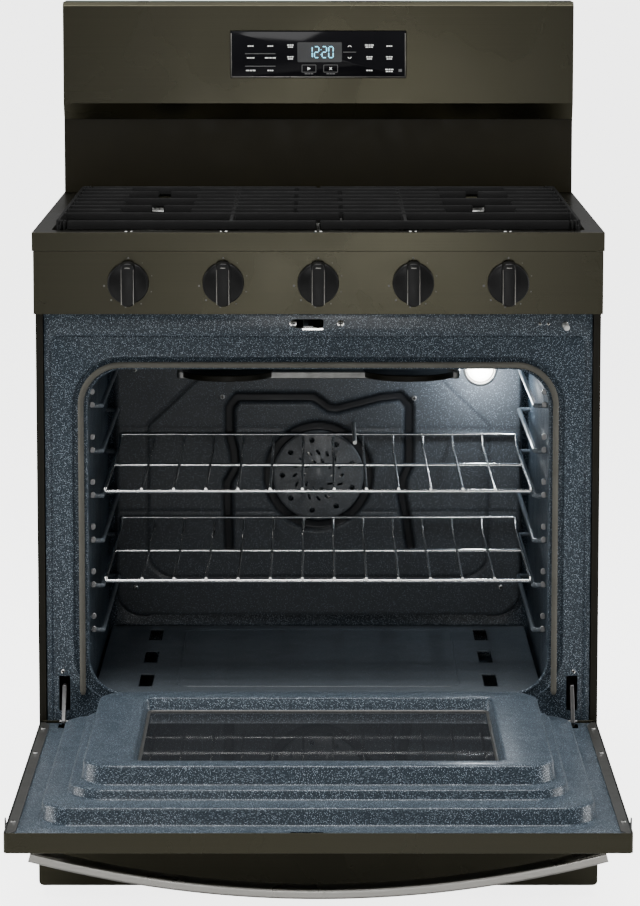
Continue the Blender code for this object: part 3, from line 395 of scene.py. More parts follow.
groups = {
    "fleck": buildFleckGroup(),
    "rolled": buildRolledGroup(),
    "grain": buildGrainGroup(),
    "handling": buildHandlingGroup(),
    "wearAndHighlight": buildEdgeWearAndHighlightGroup(),
}


def useGroup(tree, name, **values):
    made = tree.nodes.new("ShaderNodeGroup")
    made.node_tree = groups[name]
    for label, value in values.items():
        made.inputs[label].default_value = value
    return made


# materials, one for each finish

materials = {}


def newMaterial(name, **sockets):
    material = bpy.data.materials.new(name)
    material.use_nodes = True
    shader = material.node_tree.nodes["Principled BSDF"]
    for label, value in sockets.items():
        shader.inputs[label.replace("_", " ")].default_value = value
    materials[name] = material
    return material.node_tree, shader


def colour(values):
    return (*values, 1.0)


def bump(tree, shader, height, distance, strength=1.0):
    made = node(tree, "Bump", {"Height": height, "Distance": distance, "Strength": strength})
    tree.links.new(made.outputs[0], shader.inputs["Normal"])


def sheetMetal(name, look):  # rolled or brushed metal, bare or with a tinted coat
    tree, shader = newMaterial(name, Metallic=1.0)
    rolled = useGroup(tree, "rolled", Stretch=look["stretch"], Drift=look["driftScale"])
    touched = useGroup(
        tree, "handling", Scale=look["smearScale"], Clean=look["rough"], Smudged=look["smudged"]
    )
    tone = blendColours(tree, rolled.outputs["Streak"], colour(look["dark"]), colour(look["light"]))
    drift = rescale(tree, rolled.outputs["Drift"], 0.35, 0.65)
    tone = blendColours(
        tree, drift, tone, blendColours(tree, rolled.outputs["Streak"], colour(look["tint"]), tone)
    )
    tree.links.new(tone, shader.inputs["Base Color"])
    tree.links.new(touched.outputs[0], shader.inputs["Roughness"])
    bump(tree, shader, rolled.outputs["Streak"], look["bump"], 0.5)


def porcelain(name, look):  # where a piece has a shade mask, its recesses are painted darker: painted shade
    sockets = {"Coat_Weight": look["coat"], "Coat_Roughness": look["coatRough"]}
    tree, shader = newMaterial(name, Metallic=0.0, Specular_IOR_Level=look["specular"], **sockets)
    fleck = useGroup(tree, "fleck", Scale=look["scale"], Share=look["share"])
    touched = useGroup(tree, "handling", Scale=20.0, Clean=look["rough"], Smudged=look["smudged"])
    tone = blendColours(tree, fleck.outputs["Tone"], colour(look["dark"]), colour(look["base"]))
    tone = blendColours(tree, fleck.outputs["Fleck"], tone, colour(look["speck"]))
    if "pressed" in look:
        mask = node(tree, "Attribute", attribute_name="recessShadeMask").outputs["Fac"]
        # painted shade: the mask blends the dark recess colour into the enamel
        tone = blendColours(tree, mask, tone, colour(look["pressed"]))
    tree.links.new(tone, shader.inputs["Base Color"])
    tree.links.new(touched.outputs[0], shader.inputs["Roughness"])
    bump(tree, shader, fleck.outputs["Height"], look["bump"], 0.4)


def grained(name, look):  # castings, mouldings, braid and wool
    sockets = {"Metallic": look.get("metallic", 0.0), "Specular_IOR_Level": look.get("specular", 0.5)}
    tree, shader = newMaterial(name, **sockets)
    grain = useGroup(tree, "grain", Scale=look["scale"], Pits=look["pits"])
    touched = useGroup(tree, "handling", Scale=30.0, Clean=look["rough"], Smudged=look["smudged"])
    wearAndHighlight = useGroup(tree, "wearAndHighlight", Reach=look.get("rubReach", 0.0012))
    tone = blendColours(tree, grain.outputs["Patch"], colour(look["dark"]), colour(look["base"]))
    # lighter edges: partly wear, partly painted highlight
    tone = blendColours(tree, wearAndHighlight.outputs["Edge"], tone, colour(look["edge"]))
    tree.links.new(tone, shader.inputs["Base Color"])
    tree.links.new(touched.outputs[0], shader.inputs["Roughness"])
    bump(tree, shader, grain.outputs["Grain"], look["bump"], 0.6)


def glassSheet(name, look):
    tree, shader = newMaterial(
        name, Metallic=0.0, Transmission_Weight=look["clear"], IOR=1.5, Specular_IOR_Level=look["specular"]
    )
    touched = useGroup(tree, "handling", Scale=9.0, Clean=look["rough"], Smudged=look["smudged"])
    grain = useGroup(tree, "grain", Scale=300.0, Pits=0.0)
    tone = blendColours(tree, grain.outputs["Patch"], colour(look["dark"]), colour(look["base"]))
    tree.links.new(tone, shader.inputs["Base Color"])
    tree.links.new(touched.outputs[0], shader.inputs["Roughness"])


def glowing(name, look):
    tree, shader = newMaterial(
        name, Roughness=look["rough"], Emission_Strength=look["strength"], Metallic=0.0
    )
    grain = useGroup(tree, "grain", Scale=look["scale"], Pits=0.2)
    tone = blendColours(tree, grain.outputs["Patch"], colour(look["dark"]), colour(look["base"]))
    tree.links.new(tone, shader.inputs["Base Color"])
    tree.links.new(tone, shader.inputs["Emission Color"])


sheetMetal("black_stainless", {
    "dark": (0.028, 0.0262, 0.0175), "light": (0.047, 0.0445, 0.031), "tint": (0.037, 0.0355, 0.027),
    "stretch": (1.5, 1100.0, 1100.0), "driftScale": 2.2, "smearScale": 5.0,
    "rough": 0.25, "smudged": 0.31, "bump": 0.00002,
})
sheetMetal("handle_steel", {
    "dark": (0.20, 0.195, 0.18), "light": (0.34, 0.33, 0.31), "tint": (0.27, 0.265, 0.25),
    "stretch": (6.0, 1400.0, 1400.0), "driftScale": 5.0, "smearScale": 10.0,
    "rough": 0.26, "smudged": 0.34, "bump": 0.00002,
})
sheetMetal("bare_steel", {
    "dark": (0.38, 0.38, 0.37), "light": (0.60, 0.60, 0.58), "tint": (0.48, 0.48, 0.47),
    "stretch": (60.0, 260.0, 60.0), "driftScale": 12.0, "smearScale": 24.0,
    "rough": 0.30, "smudged": 0.46, "bump": 0.00003,
})
sheetMetal("hinge_steel", {
    "dark": (0.10, 0.10, 0.10), "light": (0.17, 0.17, 0.17), "tint": (0.13, 0.13, 0.13),
    "stretch": (60.0, 260.0, 60.0), "driftScale": 12.0, "smearScale": 24.0,
    "rough": 0.26, "smudged": 0.36, "bump": 0.00003,
})
sheetMetal("aluminium", {
    "dark": (0.22, 0.22, 0.21), "light": (0.34, 0.34, 0.33), "tint": (0.27, 0.27, 0.26),
    "stretch": (300.0, 300.0, 300.0), "driftScale": 30.0, "smearScale": 50.0,
    "rough": 0.42, "smudged": 0.58, "bump": 0.00005,
})
sheetMetal("chrome_wire", {
    "dark": (0.82, 0.82, 0.80), "light": (0.95, 0.95, 0.93), "tint": (0.88, 0.88, 0.87),
    "stretch": (20.0, 200.0, 200.0), "driftScale": 12.0, "smearScale": 40.0,
    "rough": 0.14, "smudged": 0.24, "bump": 0.00001,
})
enamelLook = {  # what the dark enamels have in common
    "scale": 760.0, "coatRough": 0.14, "rough": 0.30, "smudged": 0.40, "bump": 0.00015,
}
porcelain("enamel_blue", {
    "base": (0.024, 0.036, 0.048), "dark": (0.016, 0.026, 0.037), "speck": (0.58, 0.68, 0.78),
    "scale": 820.0, "share": 0.40, "specular": 0.20, "coat": 0.12,
    "coatRough": 0.12, "rough": 0.28, "smudged": 0.38, "bump": 0.00015,
})
porcelain("enamel_black", {
    "base": (0.085, 0.100, 0.115), "dark": (0.065, 0.078, 0.091), "speck": (0.32, 0.38, 0.43),
    "share": 0.26, "specular": 0.3, "coat": 0.25, **enamelLook,
})
porcelain("cover_enamel", {
    "base": (0.110, 0.116, 0.122), "dark": (0.085, 0.090, 0.096), "speck": (0.30, 0.33, 0.36),
    "share": 0.26, "specular": 0.25, "coat": 0.15, **enamelLook,
})
# its darkest colour is painted shade for the pressed recesses
porcelain("baffle_enamel", {
    "base": (0.066, 0.073, 0.080), "dark": (0.048, 0.054, 0.061), "speck": (0.28, 0.33, 0.38),
    "pressed": (0.004, 0.005, 0.007), "share": 0.28, "specular": 0.15, "coat": 0.08, **enamelLook,
})
# each edge colour lightens the edges: partly wear, partly painted highlight
grained("painted_black", {
    "base": (0.010, 0.0085, 0.004), "dark": (0.007, 0.006, 0.003), "edge": (0.04, 0.037, 0.028),
    "specular": 0.14, "scale": 1500.0, "pits": 0.3, "rough": 0.34, "smudged": 0.44, "bump": 0.00006,
})
grained("cast_iron", {
    "base": (0.006, 0.006, 0.006), "dark": (0.004, 0.004, 0.004), "edge": (0.034, 0.034, 0.034),
    "specular": 0.08, "scale": 900.0, "pits": 0.7, "rough": 0.52, "smudged": 0.68, "bump": 0.0004,
})
grained("black_plastic", {
    "base": (0.006, 0.006, 0.006), "dark": (0.004, 0.004, 0.004), "edge": (0.030, 0.030, 0.030),
    "specular": 0.2, "scale": 1800.0, "pits": 0.2, "rough": 0.32, "smudged": 0.44, "bump": 0.00004,
})
grained("white_plastic", {
    "base": (0.72, 0.72, 0.69), "dark": (0.62, 0.62, 0.59), "edge": (0.80, 0.80, 0.78),
    "scale": 1500.0, "pits": 0.2, "rough": 0.34, "smudged": 0.46, "bump": 0.00004,
})
grained("gasket_braid", {
    "base": (0.135, 0.130, 0.110), "dark": (0.075, 0.072, 0.060), "edge": (0.20, 0.19, 0.17),
    "scale": 1300.0, "pits": 0.9, "rough": 0.60, "smudged": 0.80, "bump": 0.0006, "specular": 0.3,
})
grained("glass_wool", {
    "base": (0.62, 0.55, 0.30), "dark": (0.42, 0.36, 0.18), "edge": (0.72, 0.66, 0.42),
    "scale": 420.0, "pits": 0.9, "rough": 0.85, "smudged": 0.95, "bump": 0.003, "specular": 0.2,
})
grained("trim_grey", {
    "base": (0.040, 0.040, 0.037), "dark": (0.026, 0.026, 0.024), "edge": (0.16, 0.16, 0.15),
    "scale": 900.0, "pits": 0.3, "rough": 0.34, "smudged": 0.46, "bump": 0.00005,
})
glassSheet("black_glass", {
    "base": (0.006, 0.006, 0.007), "dark": (0.004, 0.004, 0.005), "clear": 0.0, "specular": 0.14,
    "rough": 0.06, "smudged": 0.10,
})
glassSheet("clear_glass", {
    "base": (0.020, 0.022, 0.024), "dark": (0.012, 0.013, 0.015), "clear": 0.0, "specular": 0.2,
    "rough": 0.02, "smudged": 0.05,
})
glowing("lamp_glass", {
    "base": (1.0, 0.97, 0.90), "dark": (0.92, 0.90, 0.84), "rough": 0.2, "strength": 9.0, "scale": 200.0,
})
printLook = {"rough": 0.5, "scale": 300.0}  # the clock's light, and the printed marks, which also get a faint painted glow
glowing(
    "clock_light", {"base": (0.25, 0.75, 0.95), "dark": (0.18, 0.62, 0.85), "strength": 1.6, **printLook}
)
# printed marks made to glow: painted light
glowing(
    "print_white_glowing", {"base": (0.78, 0.78, 0.76), "dark": (0.62, 0.62, 0.60), "strength": 0.5, **printLook}
)
glowing(
    "print_dim_glowing", {"base": (0.13, 0.13, 0.13), "dark": (0.09, 0.09, 0.09), "strength": 0.15, **printLook}
)
grained("display_grey", {
    "base": (0.016, 0.017, 0.018), "dark": (0.012, 0.013, 0.014), "edge": (0.02, 0.02, 0.02),
    "scale": 2500.0, "pits": 0.1, "rough": 0.30, "smudged": 0.36, "bump": 0.00001,
})
print("materials ready")

# camera, lights and floor

stageLook = {
    "floorSize": 160.0, "floorColour": (0.86, 0.86, 0.85), "backdrop": 4.5, "fill": 0.18,
    "eye": (0.0, -4.70, 1.3655), "tiltDown": 7.05, "lens": 139.67, "shiftX": 0.0019, "shiftY": -0.15,
}
lampLook = {  # name: place, aim, width, height, watts
    "front_box": ((0.06, -6.0, 0.50), (0, 0, 0.75), 0.5, 1.1, 24.0),
    "key_box": ((-1.2, -4.6, 3.2), (0, 0, 0.6), 1.6, 1.2, 44.0),
    "left_box": ((-3.0, -0.1, 1.1), (0, -0.3, 0.4), 1.8, 2.2, 70.0),
    "right_box": ((3.0, -0.1, 1.1), (0, -0.3, 0.4), 1.8, 2.2, 70.0),
    "top_box": ((0, -0.5, 3.6), (0, -0.3, 0.5), 2.4, 1.4, 160.0),
    "back_box": ((0, 3.6, 3.8), (0, 0, 0.6), 2.6, 1.4, 22.0),
}


def makeStage():
    shape = bmesh.new()
    half = stageLook["floorSize"] / 2
    bmesh.ops.create_grid(shape, x_segments=4, y_segments=4, size=half)
    mesh = bpy.data.meshes.new("floor")
    shape.to_mesh(mesh)
    shape.free()
    floor = addObject("floor", mesh)
    floor.location.z = -0.0005
    tree, shader = newMaterial("floor_paint", Roughness=0.7, Specular_IOR_Level=0.2)
    cloud = node(tree, "TexNoise", {"Scale": 1.5, "Detail": 3.0}).outputs[0]
    pale = Vector(stageLook["floorColour"])
    tone = blendColours(tree, cloud, colour(pale * 0.985), colour(pale))
    tree.links.new(tone, shader.inputs["Base Color"])
    tree.links.new(tone, shader.inputs["Emission Color"])
    # bright in view, without lighting the range from below
    seen = node(tree, "LightPath").outputs["Is Camera Ray"]
    glow = rescale(tree, seen, 0.0, 1.0, 0.0, stageLook["backdrop"])
    tree.links.new(glow, shader.inputs["Emission Strength"])
    mesh.materials.append(materials["floor_paint"])
    world = bpy.data.worlds.new("studio")
    world.use_nodes = True
    sky = world.node_tree.nodes["Background"]
    sky.inputs["Color"].default_value = (1.0, 1.0, 1.0, 1.0)
    sky.inputs["Strength"].default_value = stageLook["fill"]
    bpy.context.scene.world = world


def aimed(thing, place, target):
    thing.location = place
    direction = Vector(target) - Vector(place)
    thing.rotation_mode = "QUATERNION"
    thing.rotation_quaternion = direction.to_track_quat("-Z", "Y")


def makeLights():
    for name, (place, target, width, height, watts) in lampLook.items():
        light = bpy.data.lights.new(name, "AREA")
        light.shape = "RECTANGLE"
        light.size, light.size_y = width, height
        light.energy = watts
        aimed(addObject(name, light), place, target)
    glow = bpy.data.lights.new("oven_lamp_glow", "POINT")
    glow.energy = 1.5
    glow.shadow_soft_size = 0.02
    glow.color = (0.86, 0.93, 1.0)
    lamp = addObject("oven_lamp_glow", glow)
    x, _, z = middleOf("lamp_lens")
    lamp.location = (x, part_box("lamp_lens")[0].y - 0.045, z)


def makeCamera():
    data = bpy.data.cameras.new("camera")
    data.lens = stageLook["lens"]
    data.sensor_width = 36.0
    data.shift_x, data.shift_y = stageLook["shiftX"], stageLook["shiftY"]
    data.clip_start, data.clip_end = 0.1, 200.0
    camera = addObject("camera", data)
    camera.location = stageLook["eye"]
    camera.rotation_euler = (math.radians(90 - stageLook["tiltDown"]), 0, 0)
    bpy.context.scene.camera = camera


makeStage()
makeLights()
makeCamera()
print("studio ready")

# body

screwLook = {"height": 0.0022, "slot": 0.0007, "steps": 20}


def screw(shape, dents, centre, axis, radius, outward):  # a domed head; its cross goes into dents
    rise = screwLook["height"] * outward
    profile = ((radius, 0), (radius, rise * 0.35), (radius * 0.82, rise * 0.75), (radius * 0.4, rise))
    turn(shape, profile, centre, axis, screwLook["steps"])
    across, up, along = axes[axis]
    middle = Vector(centre) + along * rise
    wide, deep = screwLook["slot"], 0.0001
    for long, short in ((across, up), (up, across)):
        reach = long * radius * 0.62 + short * wide + along * deep
        block(dents, middle - reach, middle + reach, 0)


def screwPieces(name, heads, axis, outward, finish="bare_steel", body="root"):  # heads: place and radius
    shape, dents = bmesh.new(), bmesh.new()
    for place, radius in heads:
        screw(shape, dents, place, axis, radius, outward)
    newPiece(shape, f"{name}_screws", finish, body)
    newPiece(dents, f"{name}_screw_crosses", "painted_black", body)


def makeFormedParts():  # sheets and frames whose CAD shape only needs eased edges
    plain = {
        "base_frame": ("bare_steel", 0.0012), "control_panel": ("black_stainless", 0.0014),
        "backguard_body": ("painted_black", 0.0014), "backguard_console": ("black_stainless", 0.0012),
        "cooktop": ("black_stainless", 0.0014), "drawer_box": ("bare_steel", 0.0005),
        "door_outer_panel": ("black_stainless", 0.0006), "oven_floor": ("enamel_black", 0.0006),
        "door_outer_glass": ("black_glass", 0.0008), "door_inner_glass": ("clear_glass", 0.0008),
        "drawer_front": ("black_stainless", 0.0008), "latch_hook": ("bare_steel", 0.0004),
        "door_hinge_arm_left": ("hinge_steel", 0.0007), "door_hinge_arm_right": ("hinge_steel", 0.0007),
        "fan_blade": ("bare_steel", 0.0004), "fan_motor": ("bare_steel", 0.0010),
        "gas_manifold": ("aluminium", 0.0006), "temperature_sensor": ("bare_steel", 0.0004),
        "bake_burner": ("bare_steel", 0.0008), "rear_panel": ("bare_steel", 0.0005),
        "side_panel_left": ("painted_black", 0.0005), "side_panel_right": ("painted_black", 0.0005),
        "oven_insulation": ("glass_wool", 0.0060),
    }
    for name, (finish, edge) in plain.items():
        easedCopy(name, finish, edge)


makeFormedParts()
print("sheets and frames ready")

# control panel, knobs and clock

markLook = {"thick": 0.0002, "dotHalf": 0.0011, "knobSpread": 0.0325}
knobNames = ("left_front", "left_rear", "centre", "right_rear", "right_front")


def makePanelMarks():  # a heat wedge, an off dot and a burner sketch for each knob, with no lettering
    shape = bmesh.new()
    y = panelLow.y
    thick = markLook["thick"]
    spread = markLook["knobSpread"]
    for name in knobNames:
        x, _, z = middleOf(f"knob_{name}")
        wedge = [(x - 0.0016, z + spread), (x + 0.0016, z + spread), (x, z + spread + 0.0022)]
        extrude(shape, wedge, y - thick, y + 0.0003, "Y")
        for step in range(7):
            angle = math.radians(-35 - 38 * step)
            half = 0.0005 + 0.00012 * step
            cx, cz = x + spread * math.sin(-angle), z + spread * math.cos(angle)
            block(shape, (cx - half, y - thick, cz - half), (cx + half, y + 0.0003, cz + half), 0)
    newPiece(shape, "panel_heat_marks", "print_dim_glowing", "root")
    shape = bmesh.new()
    top = topHigh.z
    half = markLook["dotHalf"]
    for number, name in enumerate(knobNames):
        x = middleOf(f"knob_{name}")[0]
        for row in range(2):
            for column in range(2):
                cx, cy = x + (column - 0.5) * 0.007, behind(0.013) + row * 0.006
                size = half if (row + 2 * column + number) % 4 else half * 1.7
                block(shape, (cx - size, cy - size, top - 0.0003), (cx + size, cy + size, top + thick), 0)
    newPiece(shape, "burner_place_marks", "print_white_glowing", "root")


knobLook = {
    "skirtEdge": 0.0022, "gripHalf": 0.0095, "gripTaper": 0.0014, "gripLength": 0.0300, "gripEase": 0.0018,
    # the glint strips are painted highlights for the light on the grip's side chamfers
    "glintStripAt": 0.0080, "glintStripHalf": 0.00055, "glintStripLow": -0.0262, "glintStripHigh": 0.0205,
}


def makeKnobs():
    look = knobLook
    for name in knobNames:
        low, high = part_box(f"knob_{name}")
        x, _, z = middleOf(f"knob_{name}")
        skirtHalf = (high.x - low.x) / 2
        back, front = high.y, low.y
        skirtFront = back - 0.008
        shape = bmesh.new()
        edge = look["skirtEdge"]
        profile = [(0.0043, 0), (skirtHalf - 0.0006, 0), (skirtHalf, -0.0006), (skirtHalf, -0.0048)]
        for angle in quarter(5)[1:]:
            profile.append((skirtHalf - edge + edge * math.cos(angle), -0.0048 - 0.0024 * math.sin(angle)))
        profile += [
            (skirtHalf - 0.0042, -0.0073),
            (skirtHalf - 0.0050, -0.0078),
            (0.006, -0.0080),
            (0.0005, -0.0080),
        ]
        turn(shape, profile, (x, back, z), "Y", 56)
        rings = []
        half, length, taper, ease = look["gripHalf"], look["gripLength"], look["gripTaper"], look[
            "gripEase"
        ]
        stations = [(skirtFront + 0.002, 0.0006), (skirtFront - 0.0008, 0.0), (front + ease, taper)]
        for angle in quarter(4)[1:]:
            stations.append((front + ease - ease * math.sin(angle), taper + ease * (1 - math.cos(angle))))
        for y, inset in stations:
            wide, tall = half - inset, length - inset
            rings.append(
                facing(roundedRing(x - wide, x + wide, z - tall, z + tall, half * 0.72 - inset * 0.5, 5), y)
            )
        loft(shape, rings, (True, True))
        newPiece(shape, f"knob_{name}_cap", "black_plastic", f"knob_{name}", (f"knob_{name}",))
        # two upright satin strips paint the highlights on the grip's side chamfers; two short bars cross
        # near the top
        shape = bmesh.new()
        for side in (-1, 1):
            at = x + side * look["glintStripAt"]
            wide = look["glintStripHalf"]
            near = (at - wide, front + 0.0002, z + look["glintStripLow"])
            block(shape, near, (at + wide, front + 0.0022, z + look["glintStripHigh"]), 0.0003)
        block(
            shape,
            (x - 0.0035, skirtFront - 0.0004, z + 0.0245),
            (x + 0.0035, skirtFront + 0.0006, z + 0.0256),
            0.0002,
        )
        block(
            shape,
            (x - 0.0036, front - 0.00015, z + 0.0222),
            (x + 0.0036, front + 0.0008, z + 0.0234),
            0.0002,
        )
        newPiece(shape, f"knob_{name}_glint_strips_and_bars", "handle_steel", f"knob_{name}")
        stemLow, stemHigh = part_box(f"valve_stem_{name}")
        shape = bmesh.new()
        radius = (stemHigh.x - stemLow.x) / 2
        near, far, ease = stemLow.y, stemHigh.y, 0.0006
        profile = ((radius * 0.8, near), (radius, near + ease), (radius, far - ease), (radius * 0.8, far))
        turn(shape, profile, (x, 0, z), "Y", 24)
        newPiece(shape, f"valve_stem_{name}_turned", "bare_steel", f"stem_{name}", (f"valve_stem_{name}",))


clockLook = {
    "digitHeight": 0.0162, "digitWidth": 0.0080, "stroke": 0.0014,
    "centre": (0.0040, 1.1158), "pitch": 0.0098,
    "window": (-0.031, 0.035, 1.1010, 1.1305), "shown": "12:20", "thick": 0.00025,
}
segmentEnds = {  # in widths and heights of a digit
    "a": ((0, 1), (1, 1)), "b": ((1, 1), (1, 0.5)), "c": ((1, 0.5), (1, 0)), "d": ((0, 0), (1, 0)),
    "e": ((0, 0.5), (0, 0)), "f": ((0, 1), (0, 0.5)), "g": ((0, 0.5), (1, 0.5)),
}
digitSegments = {"0": "abcdef", "1": "bc", "2": "abged"}


def segment(shape, start, end, stroke, y, thick):
    start, end = Vector(start), Vector(end)
    along = (end - start).normalized()
    side = Vector((-along.y, along.x)) * stroke / 2
    gap = along * stroke * 0.45
    first, last = start + gap, end - gap
    ease = along * stroke * 0.5
    outline = [
        first, first + ease - side, last - ease - side, last, last - ease + side, first + ease + side
    ]
    extrude(shape, [(p.x, p.y) for p in outline], y - thick, y + 0.0004, "Y")


def makeClock():
    look = clockLook
    low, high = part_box("control_glass")
    y = low.y
    shape = bmesh.new()
    rings = []
    stops = (
        (high.y, 0.0006, 0.002), (y + 0.0008, 0.0, 0.002), (y + 0.0003, 0.0002, 0.002), (y, 0.0008, 0.0014)
    )
    for at, inset, radius in stops:
        ring = roundedRing(low.x + inset, high.x - inset, low.z + inset, high.z - inset, radius, 4)
        rings.append(facing(ring, at))
    loft(shape, rings, (True, True))
    newPiece(shape, "control_glass_pane", "black_glass", "root", ("control_glass",))

    shape = bmesh.new()  # satin edging on the sides and under the glass
    left, right, bottom, top = low.x, high.x, low.z, high.z
    wide = 0.0014
    block(shape, (left, y - 0.0005, bottom), (left + wide, y + 0.0012, top - 0.003), 0.0003)
    block(shape, (right - wide, y - 0.0005, bottom), (right, y + 0.0012, top - 0.003), 0.0003)
    block(shape, (left, y - 0.0005, bottom), (right, y + 0.0012, bottom + wide), 0.0003)
    newPiece(shape, "control_glass_edging", "handle_steel", "root")

    thick = look["thick"]
    shape = bmesh.new()
    left, right, bottom, top = look["window"]
    extrude(shape, roundedRing(left, right, bottom, top, 0.002, 3), y - 0.0001, y + 0.0004, "Y")
    newPiece(shape, "clock_window", "display_grey", "root")

    shape = bmesh.new()
    cx, cz = look["centre"]
    width, height, stroke = look["digitWidth"], look["digitHeight"], look["stroke"]
    digits = [letter for letter in look["shown"] if letter != ":"]
    for number, digit in enumerate(digits):
        spread = 0.0008 if number > 1 else -0.0008
        left = cx + (number - (len(digits) - 1) / 2) * look["pitch"] - width / 2 + spread
        for name in digitSegments[digit]:
            (x0, z0), (x1, z1) = segmentEnds[name]
            start = (left + x0 * width * 0.82, cz + (z0 - 0.5) * height)
            segment(
                shape,
                start,
                (left + x1 * width * 0.82, cz + (z1 - 0.5) * height),
                stroke,
                y - 0.0001,
                thick,
            )
    for up in (-0.22, 0.22):
        half = stroke * 0.42
        block(
            shape,
            (cx - half, y - thick - 0.0001, cz + up * height - half),
            (cx + half, y, cz + up * height + half),
            0,
        )
    newPiece(shape, "clock_digits", "clock_light", "root")

    marks = bmesh.new()
    dim = bmesh.new()

    def bar(target, x, z, width, height=0.0016):
        block(
            target,
            (x - width / 2, y - thick, z - height / 2),
            (x + width / 2, y + 0.0003, z + height / 2),
            0,
        )

    def words(x, z, width, rows, target):  # dashes of uneven length stand for a label
        pattern = (0.34, 0.22, 0.30)
        for row in range(rows):
            level = z + ((rows - 1) / 2 - row) * 0.0030
            total = width * (1 - 0.16 * row)
            at = x - total / 2
            for share in pattern:
                piece = total * share
                bar(target, at + piece / 2, level, piece, 0.0015)
                at += piece + total * 0.07

    rows = (1.1248, 1.1073, 1.0887)
    labels = (
        (-0.1003, (1, 1, 1), (0.0085, 0.0110, 0.0140)), (-0.0711, (1, 1, 1), (0.0080, 0.0160, 0.0085)),
        (-0.0414, (2, 2, 0), (0.0090, 0.0090, 0)), (0.0757, (2, 2, 1), (0.0130, 0.0090, 0.0090)),
        (0.1053, (1, 2, 2), (0.0085, 0.0095, 0.0120)),
    )
    for x, lines, widths in labels:
        for z, count, width in zip(rows, lines, widths):
            if count:
                words(x, z, width, count, marks)
    for z in (1.1135, 1.0950):
        bar(dim, -0.0860, z, 0.0450, 0.0009)
    bar(dim, 0.0465, 1.1158, 0.0190, 0.0009)
    bar(dim, 0.1215, 1.0887, 0.0050, 0.0040)
    for z, way in ((1.1240, 1), (1.1080, -1)):
        for side in (-1, 1):
            tip = (0.0465, z + way * 0.0022)
            segment(marks, tip, (0.0465 + side * 0.0030, z - way * 0.0010), 0.0009, y, thick)
    for x, kind in ((-0.0138, "start"), (0.0184, "stop")):
        for side in (-1, 1):
            bar(dim, x, 1.0915 + side * 0.0053, 0.0206, 0.0007)
            at, half = x + side * 0.0103, 0.00035
            block(dim, (at - half, y - thick, 1.0862), (at + half, y + 0.0003, 1.0968), 0)
        words(x, 1.0838, 0.0125, 1, dim)
        if kind == "start":
            wedge = [(x - 0.0022, 1.0890), (x + 0.0026, 1.0915), (x - 0.0022, 1.0940)]
            extrude(marks, wedge, y - thick, y + 0.0003, "Y")
        else:
            for way in (-1, 1):
                start, end = (x - 0.0022, 1.0915 - way * 0.0022), (x + 0.0022, 1.0915 + way * 0.0022)
                segment(marks, start, end, 0.0009, y, thick)
    newPiece(marks, "control_marks", "print_white_glowing", "root")
    newPiece(dim, "control_lines", "print_dim_glowing", "root")


makePanelMarks()
makeKnobs()
makeClock()
print("controls ready")

# cooktop

grateLook = {
    "bars": 8, "rearInset": 0.036, "frontInset": 0.114, "rib": 0.117, "burner": 0.224,
    "width": 0.008, "topWidth": 0.0060, "height": 0.013, "finger": 0.0315, "gap": 0.003,
    "opening": 0.048, "notch": 0.008,
}


def castBar(shape, start, end, low, high, width, topWidth):  # a bar with drafted sides and eased ends
    start, end = Vector(start), Vector(end)
    along = (end - start).normalized()
    side = Vector((-along.y, along.x, 0))
    up = Vector((0, 0, 1))
    length = (end - start).length
    ease = 0.0022
    half, top = width / 2, topWidth / 2
    tall = high - low
    section = [(half - 0.001, 0.0), (half, 0.001), (top, tall - 0.0016), (top - 0.0014, tall)]
    section += [(-across, level) for across, level in reversed(section)]
    rings = []
    stops = [(0.0, 0.35), (ease * 0.35, 0.8), (ease, 1.0)]
    for at, share in stops + [(length - at, share) for at, share in reversed(stops)]:
        middle = tall * 0.5
        points = [
            (across * share, middle + (level - middle) * (0.55 + 0.45 * share)) for across, level in section
        ]
        rings.append([start + along * at + side * across + up * (low + level) for across, level in points])
    loft(shape, rings, (True, True))


